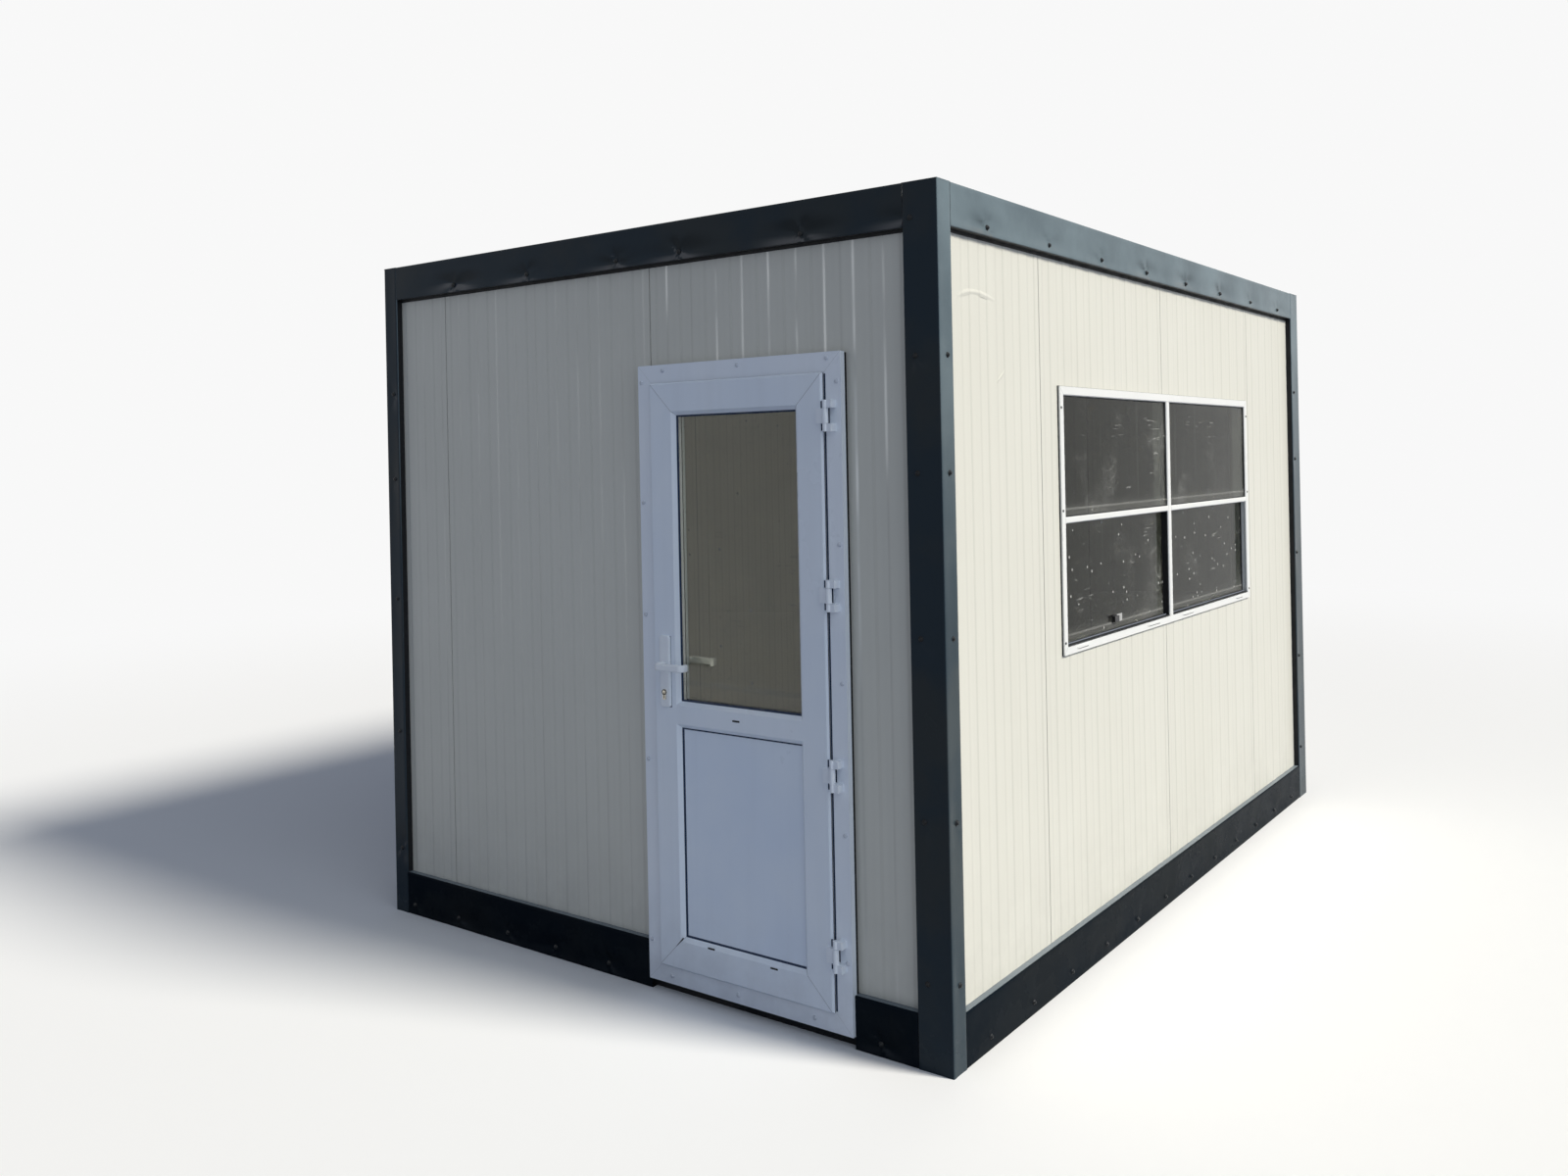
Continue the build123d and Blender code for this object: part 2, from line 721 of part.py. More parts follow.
with BuildPart() as door_rails:
    with BuildSketch(section_of(front_side, mid_rail_from, leaf_front, mid_rail_level)):
        with BuildLine():
            Polyline(
                (0, 0),
                (0, half_rail - leaf_bevel),
                (leaf_bevel, half_rail),
                (leaf_lip, half_rail),
                (leaf_lip, half_rail - leaf_pocket),
                (leaf_lip + leaf_pane, half_rail - leaf_pocket),
                (leaf_lip + leaf_pane, half_rail),
                (leaf_depth - leaf_bevel, half_rail),
                (leaf_depth, half_rail - leaf_bevel),
                (leaf_depth, 0),
                close=True,
            )
        make_face()
        mirror(about=Plane.XZ)
    extrude(amount=mid_rail_length)
    add(door_stiles.part, mode=Mode.SUBTRACT)
    add(frame_member(*leaf_place, leaf_profile, "top"))
    add(frame_member(*leaf_place, leaf_profile, "bottom"))
door_rails.part.label = "door_rails"
export_step(door_rails.part, "parts/door_rails.step")

pane_inset = leaf_pocket - pane_edge_gap
pane_centre = (leaf_left + leaf_right) / 2
glass_bottom = mid_rail_level + half_rail - pane_inset
glass_top = leaf_top - leaf_face + pane_inset
infill_bottom = leaf_bottom + leaf_face - pane_inset
infill_top = mid_rail_level - half_rail + pane_inset
pane_span = opening_span + 2 * pane_inset

with BuildPart() as door_glass:
    with BuildSketch(face_of(front_side, leaf_front + leaf_lip)):
        with Locations((pane_centre, glass_bottom)):
            Rectangle(pane_span, glass_top - glass_bottom, align=(Align.CENTER, Align.MIN))
    extrude(amount=-leaf_pane)
door_glass.part.label = "door_glass"
export_step(door_glass.part, "parts/door_glass.step")

with BuildPart() as door_lower_panel:
    with BuildSketch(face_of(front_side, leaf_front + leaf_lip)):
        with Locations((pane_centre, infill_bottom)):
            Rectangle(pane_span, infill_top - infill_bottom, align=(Align.CENTER, Align.MIN))
    extrude(amount=-leaf_pane)
door_lower_panel.part.label = "door_lower_panel"
export_step(door_lower_panel.part, "parts/door_lower_panel.step")

# Hinges: two knuckles with a foot and the pin on the frame, one bored knuckle with an arm on the leaf
hinge_end = (hinge_height - hinge_middle) / 2 - hinge_end_gap

with BuildPart() as hinge_frame_knuckles:
    for level in hinge_levels:
        for base in (level - hinge_height / 2, level + hinge_height / 2 - hinge_end):
            with BuildSketch(front_side.offset(base)):
                with Locations((hinge_along, hinge_inward)):
                    Circle(hinge_frame_radius)
                    Rectangle(hinge_foot, hinge_frame_radius, align=(Align.MIN, Align.CENTER))
                with Locations((hinge_along + hinge_foot_start, hinge_inward)):
                    Rectangle(
                        hinge_foot - hinge_foot_start,
                        -door_proud - hinge_inward,
                        align=(Align.MIN, Align.MIN),
                    )
            extrude(amount=hinge_end)
        with BuildSketch(front_side.offset(level - hinge_height / 2)):
            with Locations((hinge_along, hinge_inward)):
                Circle(hinge_pin_radius)
        extrude(amount=hinge_height)
hinge_frame_knuckles.part.label = "hinge_frame_knuckles"
export_step(hinge_frame_knuckles.part, "parts/hinge_frame_knuckles.step")

with BuildPart() as hinge_leaf_knuckles:
    for level in hinge_levels:
        with BuildSketch(front_side.offset(level - hinge_middle / 2)):
            with Locations((hinge_along, hinge_inward)):
                Circle(hinge_leaf_radius)
                Rectangle(hinge_arm, hinge_axis_proud, align=(Align.MAX, Align.MIN))
                Circle(hinge_pin_radius + hinge_pin_gap, mode=Mode.SUBTRACT)
        extrude(amount=hinge_middle)
hinge_leaf_knuckles.part.label = "hinge_leaf_knuckles"
export_step(hinge_leaf_knuckles.part, "parts/hinge_leaf_knuckles.step")

# Handle plates on both faces of the leaf, the profile lock through them and the two levers on one spindle
plate_front = leaf_front - handle_plate_depth
plate_back = leaf_back + handle_plate_depth

with BuildPart() as handle_plates:
    for start in (plate_front, leaf_back):
        with BuildSketch(face_of(front_side, start)):
            with Locations((handle_along, handle_plate_level)):
                RectangleRounded(handle_plate_width, handle_plate_height, handle_plate_corner)
            with Locations((handle_along, handle_level)):
                Circle(lever_neck_radius + lever_gap, mode=Mode.SUBTRACT)
            with Locations((handle_along, lock_level)):
                Circle(lock_radius + lock_gap, mode=Mode.SUBTRACT)
                Rectangle(
                    lock_tail_width + 2 * lock_gap,
                    lock_tail + lock_gap,
                    align=(Align.CENTER, Align.MAX),
                    mode=Mode.SUBTRACT,
                )
        extrude(amount=-handle_plate_depth)
    for outer_face in (handle_plates.faces().sort_by(Axis.Y)[0], handle_plates.faces().sort_by(Axis.Y)[-1]):
        fillet(outer_face.outer_wire().edges(), radius=handle_plate_round)
handle_plates.part.label = "handle_plates"
export_step(handle_plates.part, "parts/handle_plates.step")

with BuildPart() as lock_cylinder:
    with BuildSketch(face_of(front_side, plate_front - lock_proud)):
        with Locations((handle_along, lock_level)):
            Circle(lock_radius)
            Rectangle(lock_tail_width, lock_tail, align=(Align.CENTER, Align.MAX))
    extrude(amount=-(plate_back - plate_front + 2 * lock_proud))
lock_cylinder.part.label = "lock_cylinder"
export_step(lock_cylinder.part, "parts/lock_cylinder.step")

lever_path = [
    (0, lever_stand_off),
    (0, lever_reach),
    (lever_length, lever_reach),
    (lever_length, lever_reach - lever_return),
]

with BuildPart() as lever_outside:
    with BuildLine(plan_of(front_side, handle_along, plate_front, handle_level)):
        FilletPolyline(*[(along, -out) for along, out in lever_path], radius=lever_bend)
    with BuildSketch(face_of(front_side, plate_front - lever_stand_off)):
        with Locations((handle_along, handle_level)):
            RectangleRounded(lever_bar, lever_height, lever_round)
    sweep()
    with BuildSketch(face_of(front_side, leaf_front)):
        with Locations((handle_along, handle_level)):
            Circle(lever_neck_radius)
    extrude(amount=handle_plate_depth + lever_stand_off)
lever_outside.part.label = "lever_outside"
export_step(lever_outside.part, "parts/lever_outside.step")

with BuildPart() as lever_inside:
    with BuildLine(plan_of(front_side, handle_along, plate_back, handle_level)):
        FilletPolyline(*lever_path, radius=lever_bend)
    with BuildSketch(face_of(front_side, plate_back + lever_stand_off)):
        with Locations((handle_along, handle_level)):
            RectangleRounded(lever_bar, lever_height, lever_round)
    sweep()
    with BuildSketch(face_of(front_side, leaf_back)):
        with Locations((handle_along, handle_level)):
            Circle(lever_neck_radius)
    extrude(amount=-(handle_plate_depth + lever_stand_off))
    with BuildSketch(face_of(front_side, leaf_front)):
        with Locations((handle_along, handle_level)):
            Rectangle(spindle_side, spindle_side)
    extrude(amount=-leaf_depth)
lever_inside.part.label = "lever_inside"
export_step(lever_inside.part, "parts/lever_inside.step")

# Window: a mitred frame with a flange over the wall, a mullion, two transoms, four panes and a latch.
# The upper panes stand in the front track and the lower panes in the back track.
window_profile = [
    (0, 0),
    (window_face - window_bevel, 0),
    (window_face, window_bevel),
    (window_face, window_front_track),
    (window_face - window_pocket, window_front_track),
    (window_face - window_pocket, window_front_track + window_pane),
    (window_face, window_front_track + window_pane),
    (window_face, window_back_track),
    (window_face - window_pocket, window_back_track),
    (window_face - window_pocket, window_back_track + window_pane),
    (window_face, window_back_track + window_pane),
    (window_face, window_depth),
    (window_lap, window_depth),
    (window_lap, window_proud),
    (0, window_proud),
]
window_place = (right_side, window_left, window_right, window_sill_level, window_top, window_face, window_front)

with BuildPart() as window_jambs:
    add(frame_member(*window_place, window_profile, "left"))
    add(frame_member(*window_place, window_profile, "right"))
window_jambs.part.label = "window_jambs"
export_step(window_jambs.part, "parts/window_jambs.step")

with BuildPart() as window_head:
    add(frame_member(*window_place, window_profile, "top"))
window_head.part.label = "window_head"
export_step(window_head.part, "parts/window_head.step")

with BuildPart() as window_sill:
    add(frame_member(*window_place, window_profile, "bottom"))
window_sill.part.label = "window_sill"
export_step(window_sill.part, "parts/window_sill.step")

half_mullion = mullion_width / 2
half_transom = transom_height / 2
window_middle = (window_left + window_right) / 2
transom_level = (window_sill_level + window_top) / 2
light_bottom = window_sill_level + window_face
light_top = window_top - window_face
light_left = window_left + window_face
light_right = window_right - window_face

with BuildPart() as window_mullion:
    with BuildSketch(plan_of(right_side, window_middle, window_front, light_bottom)):
        with BuildLine():
            Polyline(
                (0, 0),
                (half_mullion - window_bevel, 0),
                (half_mullion, window_bevel),
                (half_mullion, window_front_track),
                (half_mullion - window_pocket, window_front_track),
                (half_mullion - window_pocket, window_front_track + window_pane),
                (half_mullion, window_front_track + window_pane),
                (half_mullion, window_back_track),
                (half_mullion - window_pocket, window_back_track),
                (half_mullion - window_pocket, window_back_track + window_pane),
                (half_mullion, window_back_track + window_pane),
                (half_mullion, window_depth),
                (0, window_depth),
                close=True,
            )
        make_face()
        mirror(about=Plane.YZ)
    extrude(amount=light_top - light_bottom)
window_mullion.part.label = "window_mullion"
export_step(window_mullion.part, "parts/window_mullion.step")

with BuildPart() as window_transoms:
    for start, end in [(light_left, window_middle - half_mullion), (window_middle + half_mullion, light_right)]:
        with BuildSketch(section_of(right_side, start, window_front, transom_level)):
            with BuildLine():
                Polyline(
                    (0, 0),
                    (0, half_transom - window_bevel),
                    (window_bevel, half_transom),
                    (window_front_track, half_transom),
                    (window_front_track, half_transom - window_pocket),
                    (window_front_track + window_pane, half_transom - window_pocket),
                    (window_front_track + window_pane, half_transom),
                    (window_back_track, half_transom),
                    (window_back_track, half_transom - window_pocket),
                    (window_back_track + window_pane, half_transom - window_pocket),
                    (window_back_track + window_pane, half_transom),
                    (window_depth, half_transom),
                    (window_depth, 0),
                    close=True,
                )
            make_face()
            mirror(about=Plane.XZ)
        extrude(amount=end - start)
window_transoms.part.label = "window_transoms"
export_step(window_transoms.part, "parts/window_transoms.step")

light_inset = window_pocket - window_pane_gap
pane_width = window_middle - half_mullion - light_left + 2 * light_inset
pane_height = transom_level - half_transom - light_bottom + 2 * light_inset

pane_starts = [light_left - light_inset, window_middle + half_mullion - light_inset]
upper_base = transom_level + half_transom - light_inset
lower_base = light_bottom - light_inset

with BuildPart() as window_panes:
    for track, base in [(window_front_track, upper_base), (window_back_track, lower_base)]:
        with BuildSketch(face_of(right_side, window_front + track)):
            with Locations(*[(start, base) for start in pane_starts]):
                Rectangle(pane_width, pane_height, align=(Align.MIN, Align.MIN))
        extrude(amount=-window_pane)
window_panes.part.label = "window_panes"
export_step(window_panes.part, "parts/window_panes.step")

latch_along = (light_left + window_middle - half_mullion) / 2
latch_level = light_bottom + latch_rise + latch_height / 2

with BuildPart() as window_latch:
    with BuildSketch(face_of(right_side, window_front + window_back_track)):
        with Locations((latch_along, latch_level)):
            Rectangle(latch_length, latch_height)
    extrude(amount=latch_plate_depth)
    with BuildSketch(face_of(right_side, window_front + window_back_track)):
        with Locations((latch_along - latch_length / 2, latch_level)):
            Rectangle(latch_grip_length, latch_grip_height, align=(Align.MIN, Align.CENTER))
    extrude(amount=latch_grip_depth)
window_latch.part.label = "window_latch"
export_step(window_latch.part, "parts/window_latch.step")
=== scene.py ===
"""Looks of the site cabin: ribbed painted panels, dark bent-sheet trims, plastic door and glazed window."""
import math

import bmesh
import bpy
import numpy as np
from mathutils import Matrix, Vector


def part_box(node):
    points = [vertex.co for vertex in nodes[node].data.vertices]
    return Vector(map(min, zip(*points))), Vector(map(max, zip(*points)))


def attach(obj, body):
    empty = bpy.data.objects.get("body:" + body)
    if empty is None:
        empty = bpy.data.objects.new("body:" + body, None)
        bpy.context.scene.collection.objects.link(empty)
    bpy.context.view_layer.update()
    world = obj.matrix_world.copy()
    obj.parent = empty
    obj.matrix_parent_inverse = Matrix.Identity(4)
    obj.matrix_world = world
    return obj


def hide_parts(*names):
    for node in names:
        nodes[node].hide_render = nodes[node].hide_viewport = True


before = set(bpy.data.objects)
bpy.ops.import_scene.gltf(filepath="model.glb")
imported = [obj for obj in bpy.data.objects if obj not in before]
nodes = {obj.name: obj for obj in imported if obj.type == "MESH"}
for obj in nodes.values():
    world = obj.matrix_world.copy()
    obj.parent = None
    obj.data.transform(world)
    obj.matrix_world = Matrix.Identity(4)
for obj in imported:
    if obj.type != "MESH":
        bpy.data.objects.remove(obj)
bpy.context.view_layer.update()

# Sizes of the cabin in metres, most of them read from the boxes of its solids
west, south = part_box("front_fascia")[0][:2]
east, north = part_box("back_fascia")[1][:2]
roof_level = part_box("front_fascia")[1].z
fascia_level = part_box("front_fascia")[0].z
skirt_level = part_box("right_skirt")[1].z
width, depth = east - west, north - south
stand_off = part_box("front_wall_left")[0].y - south
leaf_low, leaf_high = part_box("door_stiles")
jamb_low, jamb_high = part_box("door_frame_jambs")
window_low, window_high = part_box("window_jambs")
latch_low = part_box("window_latch")[0]
sheet = 0.002
bend = 0.004
short_leg, long_leg = 0.07, 0.11
leaf_face, jamb_face, window_face = 0.1, 0.08, 0.028
upwards = np.array([0.0, 0.0, 1.0])
full_turn = 2 * math.pi

# Each side of the cabin: its left corner seen from outside, the way along it and the way inwards
sides = {
    "front": np.array([(west, south, 0), (1, 0, 0), (0, 1, 0)], float),
    "right": np.array([(east, south, 0), (0, 1, 0), (-1, 0, 0)], float),
    "back": np.array([(east, north, 0), (-1, 0, 0), (0, -1, 0)], float),
    "left": np.array([(west, north, 0), (0, -1, 0), (1, 0, 0)], float),
}
lengths = {"front": width, "right": depth, "back": width, "left": depth}


def on_side(side, along, inward, level):
    """Points of a side: its left corner, plus the ways along, inwards and up, each times its own number."""
    corner, run, into = sides[side]
    along, inward, level = np.broadcast_arrays(along, inward, level)
    return corner + along[..., None] * run + inward[..., None] * into + level[..., None] * upwards


def grid_faces(rows, columns, close_rows=False, close_columns=False):
    """Corner numbers of a grid's quads; its last row or column joins its first one if asked."""
    row, column = np.meshgrid(
        np.arange(rows if close_rows else rows - 1),
        np.arange(columns if close_columns else columns - 1),
        indexing="ij",
    )
    next_row, next_column = (row + 1) % rows, (column + 1) % columns
    corners = [(row, column), (next_row, column), (next_row, next_column), (row, next_column)]
    return np.stack([i * columns + j for i, j in corners], axis=-1).reshape(-1, 4)


def round_angles(turns):
    """Even angles of one full turn, in a column."""
    return np.linspace(0.0, full_turn, turns, endpoint=False)[:, None]


def new_mesh(name, points, faces):
    """Mesh of an array of points and its faces."""
    mesh = bpy.data.meshes.new(name)
    mesh.from_pydata(points.reshape(-1, 3), [], faces)
    return mesh


def add_object(name, data):
    """Object of a mesh, lamp or camera, put into the scene."""
    thing = bpy.data.objects.new(name, data)
    bpy.context.scene.collection.objects.link(thing)
    return thing


def add_piece(name, points, faces, material, body="cabin", smooth=True, weld=False):
    """Puts an array of points and its faces into a mesh that rides on a body."""
    mesh = new_mesh(name, points, faces)
    mesh.polygons.foreach_set("use_smooth", np.full(len(faces), smooth))
    if weld:
        work = bmesh.new()
        work.from_mesh(mesh)
        bmesh.ops.remove_doubles(work, verts=work.verts, dist=1e-5)
        bmesh.ops.recalc_face_normals(work, faces=work.faces)
        work.to_mesh(mesh)
        work.free()
    mesh.materials.append(material)
    piece = add_object(name, mesh)
    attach(piece, body)
    return piece


def thicken(piece, rim_shift=0):
    """Gives a sheet its thickness, inwards; its cut edges take the finish so many places after its own."""
    wall = piece.modifiers.new("sheet", "SOLIDIFY")
    wall.thickness = sheet
    wall.offset = -1.0
    wall.material_offset_rim = rim_shift


class Mixer:
    """Mixes a finish: adds shader nodes to one tree and feeds their sockets."""

    def __init__(self, tree):
        self.tree = tree

    def join(self, socket, value):
        """Links an output to a socket, or sets a plain value on it; a colour is three numbers."""
        if isinstance(value, bpy.types.NodeSocket):
            self.tree.links.new(value, socket)
        else:
            socket.default_value = (*value, 1.0) if socket.type == "RGBA" else value

    def feed(self, inputs, **values):
        """Feeds sockets by name; spaces in the names are written as underscores."""
        for label, value in values.items():
            self.join(inputs[label.replace("_", " ")], value)

    def add(self, kind, **values):
        """A node of one kind, fed with its values."""
        node = self.tree.nodes.new("ShaderNode" + kind)
        self.feed(node.inputs, **values)
        return node

    def group(self, group, **values):
        """A group with its own values."""
        node = self.add("Group")
        node.node_tree = group
        self.feed(node.inputs, **values)
        return node.outputs

    def work(self, kind, *values, clamp=False):
        """Math node of one kind."""
        node = self.add("Math")
        node.operation = kind
        node.use_clamp = clamp
        for socket, value in zip(node.inputs, values):
            self.join(socket, value)
        return node.outputs[0]

    def product(self, first, *others):
        """Values multiplied one after the other."""
        for other in others:
            first = self.work("MULTIPLY", first, other)
        return first

    def apart(self, first, second):
        """Distance between two values."""
        return self.work("ABSOLUTE", self.work("SUBTRACT", first, second))

    def ramp(self, value, low, high, start=0.0, end=1.0, smooth=True):
        """Value carried from one range to another, smoothly and held at both ends."""
        node = self.add("MapRange", Value=value, From_Min=low, From_Max=high, To_Min=start, To_Max=end)
        node.interpolation_type = "SMOOTHSTEP" if smooth else "LINEAR"
        return node.outputs[0]

    def noise(self, place, scale, detail=4.0, rough=0.55):
        """Noise at a place, from 0 to 1."""
        return self.add("TexNoise", Vector=place, Scale=scale, Detail=detail, Roughness=rough).outputs["Fac"]

    def place(self, **values):
        """Object coordinates, stretched or turned if asked."""
        place = self.add("TexCoord").outputs["Object"]
        return self.add("Mapping", Vector=place, **values).outputs[0] if values else place

    def axes(self):
        """The three object coordinates as numbers."""
        return self.add("SeparateXYZ", Vector=self.place()).outputs

    def facing(self):
        """The three numbers of the face's direction."""
        return self.add("SeparateXYZ", Vector=self.add("NewGeometry").outputs["Normal"]).outputs

    def attribute(self, name):
        """A number that the points of a piece carry."""
        node = self.add("Attribute")
        node.attribute_name = name
        return node.outputs["Fac"]

    def blend(self, share, first, second):
        """Colour between two colours."""
        node = self.add("Mix")
        node.data_type = "RGBA"
        for number, value in ((0, share), (6, first), (7, second)):
            self.join(node.inputs[number], value)
        return node.outputs[2]

    def tinted(self, colour, *layers):
        """Colour under layers, each with its mask, the share that it covers and its own colour."""
        for mask, share, other in layers:
            colour = self.blend(self.product(mask, share), colour, other)
        return colour

    def bump(self, height, strength, distance, **normal):
        """Normal bent by a height."""
        return self.add("Bump", Height=height, Strength=strength, Distance=distance, **normal).outputs[0]

    def seen(self):
        """1 for what the camera sees, also in mirrors and through glass, and 0 for light that bounces."""
        path = self.add("LightPath").outputs
        seen = self.work("ADD", path["Is Camera Ray"], path["Is Glossy Ray"])
        return self.work("ADD", seen, path["Is Transmission Ray"], clamp=True)


# Shader node groups


def new_group(name, inputs, outputs):
    """Shader node group with number inputs and number outputs."""
    group = bpy.data.node_groups.new(name, "ShaderNodeTree")
    for label, value in inputs.items():
        socket = group.interface.new_socket(label, in_out="INPUT", socket_type="NodeSocketFloat")
        socket.default_value = value
    for label in outputs:
        group.interface.new_socket(label, in_out="OUTPUT", socket_type="NodeSocketFloat")
    given, result = group.nodes.new("NodeGroupInput").outputs, group.nodes.new("NodeGroupOutput").inputs
    return group, Mixer(group), given, result


def make_weather():
    """Weathering masks: large patches, upright rain streaks, splash grime near the ground and fine specks."""
    group, mix, given, result = new_group(
        "weather",
        {"Patch Scale": 2.0, "Streak Scale": 14.0, "Splash Height": 0.5, "Speck Scale": 180.0},
        ("Patches", "Streaks", "Splash", "Specks"),
    )
    place = mix.place()
    drawn = mix.noise(mix.place(Scale=(1.0, 1.0, 0.035)), given["Streak Scale"], 3.0)
    low = mix.ramp(mix.axes()["Z"], 0.05, given["Splash Height"], 1.0, 0.0)
    spray = mix.ramp(mix.noise(place, 9.0, 6.0, 0.65), 0.3, 0.75)
    mix.feed(
        result,
        Patches=mix.noise(place, given["Patch Scale"], 5.0),
        Streaks=mix.ramp(drawn, 0.45, 0.8),
        Splash=mix.product(low, spray),
        Specks=mix.ramp(mix.noise(place, given["Speck Scale"], 2.0), 0.66, 0.8),
    )
    return group


def make_rib_lines():
    """Lines of the rolled ribs, by the place along the wall counted in ribs from the middle of a groove.

    The place is y times the face's x direction less x times its y direction, both rounded to whole numbers.
    Faces that lean have no lines. Light Edge is a painted highlight at one edge of each groove, only on
    the front and back, stronger high up and broken up by a noise. Dark Edge marks painted shade at both
    edges of a groove, and Wave the painted shade along the fine ribs, four to a pitch.
    """
    group, mix, given, result = new_group(
        "rib_lines",
        {"Pitch": rib_pitch, "Front Start": 0.0, "Side Start": 0.0, "Edge": 0.22, "Edge Width": 0.08,
         "Panel Ribs": 10.0},
        ("Wave", "Lines", "Light Edge", "Dark Edge", "Joint"),
    )
    axes, facing = mix.axes(), mix.facing()
    plumb = mix.work("LESS_THAN", mix.work("ABSOLUTE", facing["Z"]), 0.3)
    sideways = mix.product(plumb, mix.work("ROUND", facing["X"]))
    ahead = mix.product(plumb, mix.work("ROUND", facing["Y"]))
    on_sides, on_ends = mix.work("ABSOLUTE", sideways), mix.work("ABSOLUTE", ahead)
    along = mix.work("SUBTRACT", mix.product(sideways, axes["Y"]), mix.product(ahead, axes["X"]))
    shift = mix.product(on_sides, mix.work("SUBTRACT", given["Side Start"], given["Front Start"]))
    start = mix.work("ADD", given["Front Start"], shift)
    turns = mix.work("DIVIDE", mix.work("SUBTRACT", along, start), given["Pitch"])
    wave = mix.work("SINE", mix.product(turns, 8 * math.pi))
    drift = mix.noise(mix.place(Scale=(1.0, 1.0, 0.02)), 22.0, 2.0)
    # A noise that breaks up the painted highlight on the grooves' edges
    worn = mix.ramp(mix.noise(mix.place(Scale=(1.0, 1.0, 0.22)), 7.0, 3.0), 0.4, 0.62)
    share = mix.work("FRACT", turns)
    first = mix.apart(share, given["Edge"])
    second = mix.apart(share, mix.work("SUBTRACT", 1.0, given["Edge"]))
    glint = mix.product(mix.ramp(first, 0.0, given["Edge Width"], 1.0, 0.0), worn)
    lofty = mix.product(on_ends, mix.ramp(axes["Z"], 0.7, 1.7, 0.3, 1.0))
    nearer = mix.work("MINIMUM", first, second)
    panels = mix.work("DIVIDE", mix.work("ADD", turns, 0.5), given["Panel Ribs"])
    off_joint = mix.apart(mix.work("FRACT", mix.work("ADD", panels, 0.5)), 0.5)
    upright = mix.work("MAXIMUM", on_sides, on_ends)
    mix.feed(
        result,
        Wave=mix.work("MULTIPLY_ADD", wave, 0.5, 0.5),
        Lines=mix.ramp(drift, 0.42, 0.72),
        Light_Edge=mix.product(glint, lofty),
        Dark_Edge=mix.ramp(nearer, 0.0, given["Edge Width"], 1.0, 0.0),
        Joint=mix.product(mix.ramp(off_joint, 0.0014, 0.0034, 1.0, 0.0), upright),
    )
    return group


def make_mitre_seam():
    """Seams at the corners of a frame: the places as far from its upright edge as from its level edge."""
    group, mix, given, result = new_group(
        "mitre_seam",
        {"Along": 0.0, "Level": 0.0, "Middle": 0.0, "Mid Level": 0.0, "Half Width": 1.0, "Half Height": 1.0,
         "Face": 0.1, "Seam": 0.001},
        ("Seam",),
    )
    from_side = mix.work("SUBTRACT", given["Half Width"], mix.apart(given["Along"], given["Middle"]))
    from_end = mix.work("SUBTRACT", given["Half Height"], mix.apart(given["Level"], given["Mid Level"]))
    line = mix.ramp(mix.apart(from_side, from_end), 0.0, given["Seam"], 1.0, 0.0)
    inside = mix.work("LESS_THAN", mix.work("MAXIMUM", from_side, from_end), given["Face"])
    mix.feed(result, Seam=mix.product(line, inside))
    return group


rib_pitch = 0.1
weather = make_weather()
rib_lines = make_rib_lines()
mitre_seam = make_mitre_seam()

# Finishes


class Finish(Mixer):
    """Mixes a material with a Principled shader."""

    def __init__(self, name, **values):
        self.material = bpy.data.materials.new(name)
        self.material.use_nodes = True
        super().__init__(self.material.node_tree)
        self.coat(**values)

    def coat(self, **values):
        """Feeds the shader and gives the material."""
        self.feed(self.tree.nodes["Principled BSDF"].inputs, **values)
        return self.material


def painted_panel(name, paint, shade, grime, splash, starts=(0.0, 0.0), glint_from=0.0):
    """Satin coil-coated sheet: painted highlight and shade on the ribs, rain streaks, splash grime and an
    uneven face.
    """
    mix = Finish(name, IOR=1.45)
    worn = mix.group(weather, Patch_Scale=1.6, Streak_Scale=16.0, Splash_Height=splash)
    ribs = mix.group(rib_lines, Front_Start=starts[0], Side_Start=starts[1])
    # Painted highlight on the ribs' edges, weaker left of the right end of the front's middle panel; it is
    # blended to near white and made a little metallic
    shine = mix.ramp(mix.axes()["X"], glint_from - 0.004, glint_from + 0.004, 0.3, 1.0)
    shine = mix.product(shine, ribs["Light Edge"])
    colour = mix.tinted(
        mix.blend(mix.ramp(worn["Patches"], 0.3, 0.7, 0.0, 0.55), paint, shade),
        (ribs["Lines"], 0.15, shade),
        # Painted shade along the fine ribs, and in the grime colour at the grooves' edges
        (ribs["Wave"], 0.25, shade),
        (ribs["Dark Edge"], 0.2, grime),
        (worn["Streaks"], 0.05, grime),
        (worn["Splash"], 0.2, grime),
        (worn["Specks"], 0.1, grime),
        (shine, 0.8, (1.0, 1.0, 0.95)),
        (ribs["Joint"], 0.55, (0.12, 0.12, 0.115)),
    )
    ripple = mix.work("MULTIPLY_ADD", ribs["Lines"], 0.3, ribs["Wave"])
    return mix.coat(
        Base_Color=colour,
        Metallic=mix.product(shine, 0.2),
        Roughness=mix.ramp(worn["Patches"], 0.25, 0.75, 0.34, 0.5),
        Normal=mix.bump(worn["Patches"], 0.18, 0.006, Normal=mix.bump(ripple, 0.3, 0.0006)),
    )


